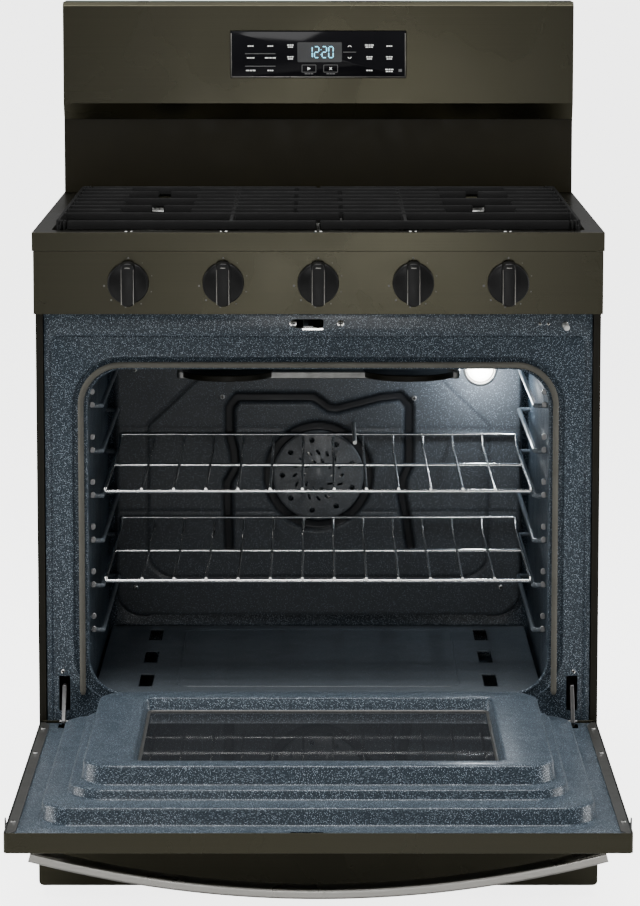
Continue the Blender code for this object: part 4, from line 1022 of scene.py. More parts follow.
def makeGrates():
    look = grateLook
    for name, body, side in (("grate_left", "grate_l", -1), ("grate_right", "grate_r", 1)):
        low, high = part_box(name)
        outer = max(abs(low.x), abs(high.x))
        front, back = low.y, high.y
        top = high.z
        under = top - look["height"]
        half = look["width"] / 2
        shape = bmesh.new()

        def bar(x0, y0, x1, y1, low=under, high=top):
            castBar(
                shape, (side * x0, y0, 0), (side * x1, y1, 0), low, high, look["width"], look["topWidth"]
            )

        corner = 0.016  # the frame turns its outer corners in a short arc
        bar(outer - half, front + corner, outer - half, back - corner)
        for y, way in ((front + half, 1), (back - half, -1)):
            bar(look["gap"] / 2 + 0.0005, y, outer - corner, y, under, top - 0.0008)
            arc = corner - half
            turns = [(math.sin(angle), 1 - math.cos(angle)) for angle in quarter(4)]
            points = [(outer - corner + arc * across, y + way * arc * back) for across, back in turns]
            for (x0, y0), (x1, y1) in zip(points, points[1:]):
                bar(x0, y0, x1, y1)
        bar(look["rib"], front + 0.004, look["rib"], back - 0.004, under, top - 0.0025)
        pitch = (back - look["rearInset"] - front - look["frontInset"]) / (look["bars"] - 1)
        openings = {number: look["opening"] for number in (0, 2, 4, 6)}
        openings.update({number: look["notch"] for number in (1, 5)})
        for number in range(look["bars"]):
            y = back - look["rearInset"] - number * pitch
            reaches = (number % 2 == 1) == (side < 0)
            shift = look["gap"] / 2
            inner = -(look["finger"] - shift) if reaches else look["finger"] + shift
            if number in openings:
                bar(inner, y, look["burner"] - openings[number], y, under, top - 0.0004)
                bar(look["burner"] + openings[number], y, outer - 0.003, y, under, top - 0.0004)
            else:
                bar(inner, y, outer - 0.003, y, under, top - 0.0004)
        for y in (front + 0.007, back - 0.007):
            for x in (outer - 0.0065, look["rib"] + 0.0005):
                foot = (
                    (0.0034, low.z + 0.0003),
                    (0.0040, low.z + 0.0012),
                    (0.0040, under + 0.003),
                    (0.003, under + 0.006),
                )
                turn(shape, foot, (side * x, y, 0), "Z", 12)
        newPiece(shape, f"{name}_casting", "cast_iron", body, (name,), angle=40)


burnerLook = {"ports": 30, "portWidth": 0.0014, "portHeight": 0.0028, "steps": 56}


def burnerRing(x, y, halfWide, halfLong, inset, z, steps):  # a circle, or an oval with straight sides
    wide = halfWide - inset
    straight = halfLong - halfWide
    points = []
    for i in range(steps):
        angle = 2 * math.pi * (i + 0.5) / steps
        shift = straight if math.sin(angle) > 0 else -straight
        points.append(Vector((x + wide * math.cos(angle), y + shift + wide * math.sin(angle), z)))
    return points


def makeBurners():
    look = burnerLook
    for name in knobNames:
        low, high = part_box(f"burner_cap_{name}")
        headLow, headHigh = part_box(f"burner_head_{name}")
        x, y, _ = middleOf(f"burner_cap_{name}")
        wide, long = (high.x - low.x) / 2, (high.y - low.y) / 2
        steps = look["steps"]
        seat = headLow.z + 0.018
        shape = bmesh.new()
        tall = high.z - low.z
        rim = (
            (0.0016, low.z), (0.0004, low.z + 0.0003), (0.0, low.z + 0.0012), (0.0002, high.z - tall * 0.42)
        )
        dome = (
            (0.0012, high.z - tall * 0.2),
            (0.0032, high.z - 0.0003),
            (0.0075, high.z),
            (wide * 0.45, high.z),
        )
        dish = ((wide * 0.48, high.z - 0.0004), (wide * 0.9, high.z - 0.0004))
        loft(
            shape, [burnerRing(x, y, wide, long, *stop, steps) for stop in rim + dome + dish], (True, True)
        )
        newPiece(shape, f"burner_cap_{name}_dome", "cast_iron", "root", (f"burner_cap_{name}",))

        shape = bmesh.new()
        stem = wide * 0.55
        head = headHigh.z
        stops = (
            (wide - stem, headLow.z), (wide - stem, seat + 0.0004), (wide * 0.06, seat + 0.0004),
            (-wide * 0.075, seat + 0.0004), (-wide * 0.08, seat + 0.0012), (-wide * 0.06, seat + 0.0022),
            (wide * 0.07, seat + 0.0028), (wide * 0.09, head - 0.0010), (wide * 0.10, head), (
                wide * 0.9, head
            ),
        )
        loft(shape, [burnerRing(x, y, wide, long, *stop, steps) for stop in stops], (True, True))
        casting = newPiece(
            shape, f"burner_head_{name}_casting", "aluminium", "root", (f"burner_head_{name}",)
        )
        slots = bmesh.new()
        outline = burnerRing(
            x, y, wide, long, wide * 0.08, head - look["portHeight"] / 2 - 0.0004, look["ports"]
        )
        for i, point in enumerate(outline):
            along = (outline[(i + 1) % len(outline)] - outline[i - 1]).normalized()
            across = along.cross(Vector((0, 0, 1)))
            frameMatrix = Matrix((along, across, Vector((0, 0, 1)))).transposed().to_4x4()
            size = Matrix.Diagonal((look["portWidth"], 0.005, look["portHeight"], 1.0))
            bmesh.ops.create_cube(slots, size=1.0, matrix=Matrix.Translation(point) @ frameMatrix @ size)
        carve(casting, slots)
        shade(casting.data, 32)

        angle = math.radians(-125 if x > 0.01 else -55)
        px = x + (wide * 1.04 + 0.0075) * math.cos(angle)
        py = y + (wide * 1.04 + 0.0075) * math.sin(angle)
        shape = bmesh.new()
        profile = ((0.0036, seat - 0.0006), (0.0036, seat + 0.0034), (0.0026, seat + 0.0042))
        profile += ((0.0024, seat + 0.0078), (0.0014, seat + 0.0084))
        turn(shape, profile, (px, py, 0), "Z", 16)
        newPiece(shape, f"igniter_{name}_ceramic", "trim_grey")
        shape = bmesh.new()
        rod(shape, (px, py, seat + 0.008), (px, py, seat + 0.0108), 0.0007)
        newPiece(shape, f"igniter_{name}_tip", "bare_steel")


makeGrates()
makeBurners()
print("cooktop ready")

# oven

ovenLook = {
    "grooveHalf": 0.3615, "grooveTop": 0.7620, "grooveWide": 0.0034, "grooveDeep": 0.0018,
    "grooveRadius": 0.013,
    "channelWide": 0.0190, "channelDeep": 0.0036, "sheet": 0.0012, "backRadius": 0.012,
    "guideLevels": 6, "guideRadius": 0.0033, "guideInset": 0.0165, "firstLevel": 0.359, "levelPitch": 0.062,
    "cornerSteps": 10,
}


def ovenRing(half, low, high, radius, y):
    return facing(roundedRing(-half, half, low, high, radius, ovenLook["cornerSteps"]), y)


def latchSlot(half, radius):  # the slot round the latch hook, on the closed door's plane
    low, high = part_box("latch_hook")
    z = (low.z + high.z) / 2
    return roundedRing(low.x - 0.010, high.x + 0.014, z - half, z + half, radius, 4)


def makeOvenLiner():  # front frame, gasket channel, lip and walls, pressed from one sheet
    look = ovenLook
    y = frameLow.y
    half, top, low = frameHigh.x, frameHigh.z, frameLow.z
    mouth, roof, sill = ovenHalf, ovenTop, ovenFloor
    groove, over, wide, deep = look["grooveHalf"], look["grooveTop"], look["grooveWide"], look["grooveDeep"]
    radius = look["grooveRadius"]
    rings = [
        ovenRing(half, low, top, 0.002, y + 0.0030),
        ovenRing(half, low, top, 0.002, y + 0.0005),
        ovenRing(half - 0.0005, low + 0.0005, top - 0.0005, 0.002, y),
    ]
    stops = (
        (-0.0008, 0.0),
        (0.0, 0.0003),
        (wide * 0.35, deep),
        (wide * 0.65, deep),
        (wide, 0.0003),
        (wide + 0.0008, 0.0),
    )
    for inset, step in stops:
        rings.append(
            ovenRing(groove - inset, low + 0.008 + inset, over - inset, radius - inset * 0.5, y + step)
        )
    channel = look["channelWide"]
    depth = look["channelDeep"]
    profile = (  # how far outside the oven's mouth, and how deep
        (channel + 0.0052, 0.0), (channel + 0.0044, -0.0003), (channel + 0.0030, -0.0007), (
            channel + 0.0018, -0.0003
        ),
        (channel + 0.0010, 0.0008), (channel + 0.0002, depth - 0.0006), (channel - 0.0008, depth),
        (0.0062, depth), (0.0052, depth - 0.0006), (0.0042, 0.0008), (0.0034, 0.0), (0.0024, -0.0003), (
            0.0010, 0.0001
        ),
        (0.0002, 0.0012), (0.0, 0.0030),
    )
    for out, step in profile:
        rings.append(
            ovenRing(
                mouth + out, sill - min(out, 0.012), roof + out * 0.8, cornerRadius + out * 0.8, y + step
            ),
        )
    under = frameLow.z + 0.016
    for step in (0.0045, 0.02, 0.12, 0.25, 0.38):
        rings.append(ovenRing(mouth, under, roof, cornerRadius, y + step))
    bend = look["backRadius"]
    for angle in quarter(4):
        inset = bend * (1 - math.cos(angle))
        at = ovenBackY - bend + bend * math.sin(angle)
        rings.append(ovenRing(mouth - inset, under + inset, roof - inset, cornerRadius - inset * 0.5, at))
    shape = bmesh.new()
    loft(shape, rings, (False, True))
    liner = newPiece(
        shape, "oven_liner", "enamel_blue", "root", ("oven_cavity",), tidyNormals=False, angle=50
    )
    thick = liner.modifiers.new("sheet", "SOLIDIFY")
    thick.thickness = look["sheet"]
    thick.offset = -1
    slots = bmesh.new()
    extrude(slots, latchSlot(0.006, 0.003), y - 0.01, y + 0.01, "Y")
    x, _, z = middleOf("door_switch_button")
    turn(slots, ((0.0050, 0.0), (0.0050, 0.02)), (x, y - 0.01, z), "Y", 24)
    for name in ("door_hinge_arm_left", "door_hinge_arm_right"):
        armLow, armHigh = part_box(name)
        block(
            slots,
            (armLow.x - 0.0015, y - 0.01, hingeZ + 0.010),
            (armHigh.x + 0.0015, y + 0.02, hingeZ + 0.058),
            0,
        )
    for at, level, radius in ((0.0, 0.670, 0.008), (0.09, 0.244, 0.010)):
        turn(slots, ((radius, 0.0), (radius, 0.04)), (at, ovenBackY - 0.02, level), "Y", 20)
    carve(liner, slots)
    shade(liner.data, 50)

    shape = bmesh.new()  # guide rods that the racks slide on, turned into the wall at both ends
    back = baffleLow.y - 0.012
    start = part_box("oven_rack_upper")[0].y - 0.002
    radius, inset = look["guideRadius"], look["guideInset"]
    for level in range(look["guideLevels"]):
        height = look["firstLevel"] + level * look["levelPitch"] - 0.0058 - radius
        for side in (-1, 1):
            wall, rail = side * (mouth + 0.0004), side * (mouth - inset)
            ease = side * 0.004
            path = [(wall, start, height), (rail + ease, start, height), (rail, start + 0.004, height)]
            path += [(rail, back - 0.004, height), (rail + ease, back, height), (wall, back, height)]
            tube(shape, path, radius, 12)
    newPiece(shape, "rack_guides", "enamel_black")
    shape = bmesh.new()  # tabs that hold the front ends of the guides
    for level in range(look["guideLevels"]):
        top = look["firstLevel"] + level * look["levelPitch"]
        for side in (-1, 1):
            for rise in (-0.011, 0.007):
                corners = roundedRing(
                    mouth - 0.0075, mouth - 0.0010, top + rise, top + rise + 0.0085, 0.0024, 3
                )
                outline = [(side * x, z) for x, z in corners]
                extrude(shape, outline[::side], start - 0.0065, start - 0.0040, "Y", 0.0006)
    newPiece(shape, "guide_tabs", "hinge_steel")

    shape = bmesh.new()  # small stamped pockets low on the walls behind the lip
    for side in (-1, 1):
        for level, size in ((0.300, 0.010), (0.335, 0.004), (0.372, 0.004)):
            middle = (side * (mouth - 0.0002), y + 0.016, level)
            profile = (
                (size * 0.55, -0.0006), (size * 0.5, 0.0012), (size * 0.34, 0.0016), (size * 0.3, 0.0006)
            )
            turn(shape, profile, middle, "X", 18)
    newPiece(shape, "wall_dimples", "enamel_blue")


gasketLook = {"radius": 0.0042, "outset": 0.009, "ribPitch": 0.0032, "ribDepth": 0.00022}


def gasketPath():
    across, top = ovenHalf + gasketLook["outset"], ovenTop + gasketLook["outset"] * 0.72
    radius = cornerRadius + 0.005
    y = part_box("oven_gasket")[1].y - 0.0037
    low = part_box("oven_gasket")[0].z
    points = [(across, low + 0.003)]
    while points[-1][1] + 0.02 < top - radius:
        points.append((across, points[-1][1] + 0.02))
    for angle in quarter(14):
        points.append((across - radius + radius * math.cos(angle), top - radius + radius * math.sin(angle)))
    half = points + [(0.2, top), (0.1, top)]
    whole = half + [(0.0, top)] + [(-x, z) for x, z in reversed(half)]
    return [(x, y, z) for x, z in whole]


def finePath(points, pitch):  # the same line with points at an even pitch
    fine = []
    for first, second in zip(points, points[1:]):
        first, second = Vector(first), Vector(second)
        count = max(1, round((second - first).length / pitch))
        fine += [first.lerp(second, i / count) for i in range(count)]
    return fine + [Vector(points[-1])]


def makeGasket():  # a woven tube: its ribs are modelled along its length
    look = gasketLook
    points = finePath(gasketPath(), look["ribPitch"])
    shape = bmesh.new()
    radius, sidesRound = look["radius"], 10
    rings = []
    for i, point in enumerate(points):
        before, after = points[max(i - 1, 0)], points[min(i + 1, len(points) - 1)]
        along = (after - before).normalized()
        out = Vector((0, -1, 0))
        side = along.cross(out)
        grow = radius - (look["ribDepth"] if i % 2 else 0)
        if i in (0, len(points) - 1):
            grow *= 0.6
        ring = []
        for k in range(sidesRound):
            angle = 2 * math.pi * k / sidesRound + 0.3 * (i % 2)
            ring.append(point + side * grow * math.cos(angle) + out * grow * 0.86 * math.sin(angle))
        rings.append(ring)
    loft(shape, rings, (True, True))
    newPiece(shape, "oven_gasket_tube", "gasket_braid", "root", ("oven_gasket",), angle=60)


baffleLook = {
    "pitch": 0.0026, "rim": 0.006, "corner": 0.040, "channelWide": 0.0150, "channelDeep": 0.0030,
    "outlineWide": 0.0052, "outlineDeep": 0.0016, "ringOuter": 0.0815, "ringInner": 0.0655,
    "fanHeight": 0.498,
    # the two creases sit on shadow lines across the back wall and are painted dark as shadow
    "creaseWide": 0.0045, "creaseDeep": 0.0007, "shadowLineCreases": (0.5685, 0.4440), "lampHole": 0.0225,
    # count, distance, half length and width
    "slots": ((10, 0.0215, 0.0042, 0.0017), (16, 0.0345, 0.0044, 0.0019)),
    "slotSlant": 0.7, "outerHoles": 9, "outerDistance": 0.053, "holeRadius": 0.0042,
}
channelPath = [  # X and Z of the pressed channel round the fan
    (-0.132, 0.392), (-0.1345, 0.487), (-0.122, 0.509), (-0.1245, 0.536), (-0.1305, 0.560), (
        -0.1305, 0.600
    ),
    (-0.1195, 0.6145), (-0.008, 0.6145), (0.004, 0.606), (0.015, 0.598), (0.027, 0.597), (0.092, 0.6135),
    (0.120, 0.6165), (0.133, 0.602), (0.133, 0.512), (0.1245, 0.493), (0.123, 0.468), (0.1315, 0.422), (
        0.136, 0.392
    ),
]


def lineDistance(x, z, path):
    best = 1.0
    for (x0, z0), (x1, z1) in zip(path, path[1:]):
        dx, dz = x1 - x0, z1 - z0
        share = max(0.0, min(1.0, ((x - x0) * dx + (z - z0) * dz) / (dx * dx + dz * dz)))
        best = min(best, math.hypot(x - x0 - dx * share, z - z0 - dz * share))
    return best


def outlinePath():  # the wide groove round the whole pressing
    radius, side, low = 0.040, 0.252, 0.345
    bend = [(side - radius + radius * math.cos(a), low + radius - radius * math.sin(a)) for a in quarter(6)]
    half = [(0.172, 0.648), (side, 0.572)] + bend
    return half + [(-x, z) for x, z in reversed(half)]


def groove(distance, wide, deep):  # a round-bottomed dip
    share = distance / (wide / 2)
    return deep * 0.5 * (1 + math.cos(math.pi * share)) if share < 1 else 0.0


def flatGroove(distance, wide, deep, slope=0.0035):  # a flat-bottomed dip with sloping sides
    return deep * max(0.0, min(1.0, (wide / 2 + slope / 2 - distance) / slope))


def makeBaffle():
    look = baffleLook
    half = baffleHigh.x
    low, high = baffleLow.z, baffleHigh.z
    front, back = baffleLow.y, baffleHigh.y
    rim, corner, fan = look["rim"], look["corner"], look["fanHeight"]
    outline = outlinePath()
    across = round(2 * half / look["pitch"])
    up = round((high - low) / look["pitch"])
    shape = bmesh.new()
    # the mask holds how much painted shade each point gets
    mask = shape.verts.layers.float.new("recessShadeMask")
    verts = {}
    lampX, _, lampZ = middleOf("lamp_lens")

    def edgeDistance(x, z):  # inside the rounded outline, counted inwards
        qx, qz = abs(x) - (half - corner), abs(z - (low + high) / 2) - ((high - low) / 2 - corner)
        outside = math.hypot(max(qx, 0), max(qz, 0))
        return corner - outside - min(max(qx, qz), 0)

    def ontoOutline(x, z):
        middleZ = (low + high) / 2
        cx, cz = half - corner, (high - low) / 2 - corner
        dx, dz = abs(x) - cx, abs(z - middleZ) - cz
        scale = corner / math.hypot(dx, dz)
        return math.copysign(cx + dx * scale, x), middleZ + math.copysign(cz + dz * scale, z - middleZ)

    def relief(x, z):
        fromFan = math.hypot(x, z - fan)
        deep = flatGroove(lineDistance(x, z, channelPath), look["channelWide"], look["channelDeep"])
        outer, inner = look["ringOuter"], look["ringInner"]
        ring = flatGroove(abs(fromFan - (outer + inner) / 2), outer - inner, look["channelDeep"])
        # painted shade: channels, fan ring, outline groove and creases are darkened in the mask
        dark = max(deep, ring) / look["channelDeep"]
        shallow = groove(lineDistance(x, z, outline), look["outlineWide"], look["outlineDeep"])
        crease = 0.0
        if fromFan > look["ringOuter"]:
            for level in look["shadowLineCreases"]:
                crease = max(crease, groove(abs(z - level), look["creaseWide"], look["creaseDeep"]))
        dark = max(dark, 0.55 * shallow / look["outlineDeep"], 0.5 * crease / look["creaseDeep"])
        edge = edgeDistance(x, z)
        fall = rim - math.sqrt(max(rim * rim - (rim - edge) ** 2, 0)) if edge < rim else 0.0
        return max(deep, ring, shallow, crease) + fall, dark

    for i in range(across + 1):
        for j in range(up + 1):
            x = -half + 2 * half * i / across
            z = low + (high - low) * j / up
            if edgeDistance(x, z) < 0:
                if edgeDistance(x, z) < -look["pitch"] * 1.5:
                    continue
                x, z = ontoOutline(x, z)
            if math.hypot(x, z - fan) < look["ringInner"] - 0.004:
                continue
            if math.hypot(x - lampX, z - lampZ) < look["lampHole"]:
                continue
            step, dark = relief(x, z)
            verts[i, j] = shape.verts.new((x, front + step, z))
            verts[i, j][mask] = dark
    for i in range(across):
        for j in range(up):
            corners = [verts.get(key) for key in ((i, j), (i + 1, j), (i + 1, j + 1), (i, j + 1))]
            if all(corners):
                shape.faces.new(corners)
    bmesh.ops.remove_doubles(shape, verts=shape.verts, dist=0.00005)
    loose = [vert for vert in shape.verts if not vert.link_faces]
    bmesh.ops.delete(shape, geom=loose, context="VERTS")
    border = []
    for edge in shape.edges:
        x, _, z = edge.verts[0].co
        if edge.is_boundary and edgeDistance(x, z) < 0.001:
            border.append(edge)
    moved = bmesh.ops.extrude_edge_only(shape, edges=border)["geom"]
    for vert in (item for item in moved if isinstance(item, bmesh.types.BMVert)):
        vert.co.y = back
    newPiece(
        shape,
        "rear_baffle_pressing",
        "baffle_enamel",
        "root",
        ("oven_rear_baffle",),
        angle=70,
    )

    shape = bmesh.new()  # pierced fan cover
    outer = look["ringInner"]
    profile = (
        (0.0005, 0.0012), (outer - 0.001, 0.0012), (outer + 0.0004, 0.0034), (outer + 0.0016, 0.0034)
    )
    profile += ((outer + 0.0012, 0.0014), (outer - 0.0006, 0.0002), (outer - 0.0016, 0.0))
    profile += ((0.016, 0.0), (0.0135, -0.0008), (0.0005, -0.0010))
    turn(shape, profile, (0, front, fan), "Y", 72)
    cover = newPiece(shape, "fan_cover", "cover_enamel", "root")
    holes = bmesh.new()
    for count, distance, long, wide in look["slots"]:
        for number in range(count):
            angle = 2 * math.pi * number / count
            place = Vector((distance * math.cos(angle), 0, distance * math.sin(angle)))
            lean = angle + look["slotSlant"]
            along = Vector((math.cos(lean), 0, math.sin(lean)))
            side = Vector((-along.z, 0, along.x))
            points = []
            for way in (1, -1):
                for step in range(5):
                    turnBy = math.pi * step / 4 - math.pi / 2
                    reach, aside = long - wide + wide * math.cos(turnBy), wide * math.sin(turnBy)
                    points.append(place + along * way * reach + side * way * aside)
            extrude(holes, [(p.x, p.z + fan) for p in points], front - 0.01, front + 0.002, "Y")
    distance, radius = look["outerDistance"], look["holeRadius"]
    for number in range(look["outerHoles"]):
        angle = 2 * math.pi * (number + 0.5) / look["outerHoles"]
        middle = (distance * math.cos(angle), front, fan + distance * math.sin(angle))
        turn(holes, ((radius, -0.01), (radius, 0.002)), middle, "Y", 16)
    carve(cover, holes)
    shade(cover.data, 40)

    places = (
        (-0.141, 0.615), (0.141, 0.613), (-0.270, 0.330), (0.270, 0.330), (-0.270, 0.655), (0.205, 0.655)
    )
    screwPieces("baffle", [((x, front, z), 0.0038) for x, z in places], "Y", -1)


def makeLamp():
    x, _, z = middleOf("lamp_lens")
    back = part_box("lamp_lens")[1].y
    radius = 0.020
    shape = bmesh.new()
    profile = [(0.0008, -0.030)]
    for angle in quarter(8)[1:]:
        profile.append((radius * 0.97 * math.sin(angle) ** 0.8, -0.014 - 0.016 * math.cos(angle)))
    profile += [(radius, -0.006), (radius, 0.0)]
    turn(shape, profile, (x, back, z), "Y", 40)
    newPiece(shape, "lamp_lens_dome", "lamp_glass", "root", ("lamp_lens",))
    shape = bmesh.new()
    y = baffleLow.y
    lip = (
        (0.0006, 0.010),
        (0.0006, -0.0016),
        (0.0020, -0.0026),
        (0.0046, -0.0014),
        (0.0056, 0.0004),
        (0.0056, 0.010),
    )
    turn(shape, [(radius + out, along) for out, along in lip], (x, y, z), "Y", 48)
    newPiece(shape, "lamp_collar", "bare_steel")


broilLook = {
    "half": 0.198, "lobeX": 0.127, "lobeRadius": 0.065, "rim": 0.0035, "stripHalf": 0.020, "drop": 0.033
}


def makeBroiler():
    look = broilLook
    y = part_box("broil_burner")[0].y + look["lobeRadius"]
    z = ovenTop - look["drop"]
    shape = bmesh.new()
    half, wide = look["half"], look["stripHalf"]
    outline = roundedRing(-half, half, y - wide, y + wide, 0.006, 3)
    extrude(shape, outline, z - 0.005, z + 0.005, "Z", 0.0012)
    for side in (-1, 1):
        x = side * 0.189
        block(shape, (x - 0.007, y - 0.003, z), (x + 0.007, y + 0.003, ovenTop - 0.0005), 0.0008)
    tube(shape, [(0, y + 0.015, z), (0, 0.30, z), (0, ovenBackY + 0.04, z)], 0.006, 16)
    newPiece(shape, "broil_burner_strip", "aluminium", "root", ("broil_burner",))
    shape = bmesh.new()
    radius, rim = look["lobeRadius"], look["rim"]
    for side in (-1, 1):
        centre = (side * look["lobeX"], y, z)
        profile = (
            (0.0005, -0.0016), (radius * 0.55, -0.0016), (radius * 0.82, -0.0026), (radius - rim, -0.0034)
        )
        profile += ((radius - 0.0012, -0.0032), (radius, -0.0022), (radius, 0.0042))
        profile += ((radius - 0.0015, 0.0056), (0.0005, 0.0056))
        turn(shape, profile, centre, "Z", 56)
    newPiece(shape, "broil_burner_lobes", "painted_black")


rackLook = {
    "wires": 12, "radius": 0.00225, "middle": 0.217, "lip": 0.015, "edgeToWire": 0.0515, "bend": 0.010
}


def makeRacks():
    look = rackLook
    for name in ("oven_rack_upper", "oven_rack_lower"):
        low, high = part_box(name)
        thin = look["radius"]
        raised = high.z - thin
        level = raised - look["lip"]
        cross = low.z + thin
        front, back = low.y + thin, high.y - thin
        edge = high.x - thin
        bend = look["bend"]
        shape = bmesh.new()
        for y in (front, front + look["middle"]):
            rod(shape, (-edge, y, cross), (edge, y, cross), thin * 1.15, 12)
        lip = look["lip"]
        # sides and raised back rail
        frameWire = [(-edge, front + 0.0005, cross), (-edge, front + 0.0005, level)]
        frameWire += [(-edge, back - bend * 2, level), (-edge, back - bend, level + lip * 0.5)]
        frameWire += [(-edge, back - 0.003, raised - 0.001), (-edge + 0.003, back, raised)]
        tube(shape, frameWire + [(-x, y, z) for x, y, z in reversed(frameWire)], thin, 12)
        reach = high.x - look["edgeToWire"]
        for number in range(look["wires"]):
            x = -reach + 2 * reach * number / (look["wires"] - 1)
            wire = [(x, front - 0.0022, level), (x, back - bend * 2, level)]
            wire += [(x, back - bend, level + lip * 0.4), (x, back - 0.002, raised - 0.003)]
            tube(shape, wire, thin * 0.9, 10)
        newPiece(shape, f"{name}_wires", "chrome_wire", bodyOf[name], (name,))


def makeOvenFloorBead():  # the edge of the sunk middle of the oven's bottom
    y0, y1 = floorLow.y + 0.034, floorHigh.y - 0.030
    top = floorHigh.z
    shape = bmesh.new()
    rings = []
    for inset, rise in (
        (0.0, -0.0004), (0.0009, 0.0007), (0.0021, 0.0009), (0.0033, 0.0005), (0.0042, -0.0004)
    ):
        ring = roundedRing(-0.196 + inset, 0.196 - inset, y0 + inset, y1 - inset, 0.018 - inset, 6)
        rings.append([Vector((x, y, top + rise)) for x, y in ring])
    loft(shape, rings + [rings[0]])
    newPiece(shape, "oven_floor_bead", "enamel_black")


makeOvenLiner()
makeGasket()
makeBaffle()
makeLamp()
makeBroiler()
makeRacks()
makeOvenFloorBead()
print("oven ready")

# door, laid open at rest

doorLook = {
    "cornerSteps": 10, "flangeWide": 0.0125, "flangeThick": 0.0016, "tabTall": 0.020, "tabWide": 0.0045,
    "low": 0.2185, "high": 0.7865, "skinHalf": 0.3768, "linerFace": 0.0224, "sheet": 0.0010,
}
linerRings = (  # half width, low, high, depth and corner radius on the closed door
    (0.3763, 0.2187, 0.7863, 0.0202, 0.004), (0.3765, 0.2185, 0.7865, 0.0215, 0.004),
    (0.3758, 0.2192, 0.7858, 0.0220, 0.004), (0.3440, 0.2530, 0.7490, 0.0220, 0.048),
    (0.3412, 0.2558, 0.7462, 0.0226, 0.0467), (0.3398, 0.2572, 0.7448, 0.0245, 0.046),
    (0.3384, 0.2586, 0.7434, 0.0405, 0.0452), (0.3374, 0.2596, 0.7424, 0.0426, 0.0446),
    (0.3352, 0.2618, 0.7402, 0.0436, 0.0436), (0.3120, 0.2700, 0.7090, 0.0437, 0.052),
    (0.3098, 0.2718, 0.7068, 0.0443, 0.051), (0.3088, 0.2727, 0.7058, 0.0458, 0.0504),
    (0.3077, 0.2738, 0.7047, 0.0532, 0.0499), (0.3068, 0.2747, 0.7038, 0.0552, 0.0494),
    (0.3048, 0.2762, 0.7018, 0.0560, 0.0484), (0.2958, 0.2750, 0.6848, 0.0561, 0.043),
    (0.2938, 0.2760, 0.6828, 0.0568, 0.042), (0.2928, 0.2764, 0.6818, 0.0584, 0.0412),
    (0.2914, 0.2770, 0.6804, 0.0768, 0.0403), (0.2904, 0.2780, 0.6794, 0.0789, 0.0397),
    (0.2880, 0.2802, 0.6770, 0.0799, 0.0387), (0.2345, 0.3110, 0.6550, 0.0800, 0.013),
    (0.2318, 0.3137, 0.6523, 0.0795, 0.012), (0.2304, 0.3151, 0.6509, 0.0782, 0.0112),
    (0.2288, 0.3167, 0.6493, 0.0660, 0.0105), (0.2278, 0.3177, 0.6483, 0.0640, 0.010),
    (0.2268, 0.3187, 0.6473, 0.0625, 0.009),
)


def doorRing(half, low, high, depth, radius):
    ring = roundedRing(-half, half, low, high, radius, doorLook["cornerSteps"])
    return [doorPoint(x, depth, z) for x, z in ring]


def makeDoorLiner():
    shape = bmesh.new()
    loft(shape, [doorRing(*ring) for ring in reversed(linerRings)])
    liner = newPiece(
        shape, "door_liner_pressing", "enamel_blue", "door", ("door_liner",), tidyNormals=False, angle=55
    )
    thick = liner.modifiers.new("sheet", "SOLIDIFY")
    thick.thickness = doorLook["sheet"]
    thick.offset = -1
    slots = bmesh.new()
    outlines = [latchSlot(0.0055, 0.003)]
    for name in ("door_hinge_arm_left", "door_hinge_arm_right"):
        armLow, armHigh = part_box(name)
        left, right = armLow.x - 0.0015, armHigh.x + 0.0015
        outlines.append([(left, 0.224), (right, 0.224), (right, 0.248), (left, 0.248)])
    for outline in outlines:
        loft(
            slots, [[doorPoint(x, depth, z) for x, z in outline] for depth in (0.012, 0.030)], (True, True)
        )
    carve(liner, slots)
    shade(liner.data, 55)

    look = doorLook
    low, high, face, tall = look["low"], look["high"], look["linerFace"], look["tabTall"]
    for name, side in sides("door_side_flange"):  # the skin's turned edges, folded over the liner
        outer, inner = look["skinHalf"], look["skinHalf"] - look["flangeWide"]
        end = face + look["flangeThick"]
        shape = bmesh.new()
        outline = [
            (outer, low + 0.004),
            (outer, high - 0.001),
            (inner + 0.008, high - 0.001),
            (inner, high - 0.014),
        ]
        outline += [(inner, low + 0.020), (inner + 0.006, low + 0.004)]
        rings = []
        for depth, inset in ((face, 0.0), (end - 0.0005, 0.0), (end, 0.0005)):
            middleX, middleZ = (outer + inner) / 2, (low + high) / 2
            ring = []
            for x, z in outline:
                nx, nz = x - math.copysign(inset, x - middleX), z - math.copysign(inset, z - middleZ)
                ring.append(doorPoint(side * nx, depth, nz))
            rings.append(ring)
        loft(shape, rings, (True, True))
        tab = [(face, high - 0.026), (face, high - 0.001), (face + tall, high - 0.001)]
        tab += [(face + tall, high - 0.006), (face + tall * 0.45, high - 0.013)]
        across = (outer - look["tabWide"] * 0.35, outer)
        rings = [[doorPoint(side * x, depth, z) for depth, z in tab] for x in across]
        loft(shape, rings, (True, True))
        newPiece(shape, name, "trim_grey", "door")
        heads = [(doorPoint(side * (outer - 0.0060), end, z), 0.0032) for z in (0.262, 0.395, 0.735)]
        screwPieces(name, heads, "Z", 1, body="door")


def makeWindowTrim():  # metal bead round the glass, raised in the same ridge all round
    shape = bmesh.new()
    rings = []
    for inset, depth in (
        (0.0, 0.0622), (0.0006, 0.0640), (0.0026, 0.0644), (0.0040, 0.0634), (0.0044, 0.0622)
    ):
        ring = roundedRing(
            -0.2272 + inset, 0.2272 - inset, 0.3182 + inset, 0.6478 - inset, 0.008 - inset * 0.5, 5
        )
        rings.append([doorPoint(x, depth, z) for x, z in ring])
    loft(shape, rings + [rings[0]])
    newPiece(shape, "window_bead", "trim_grey", "door")


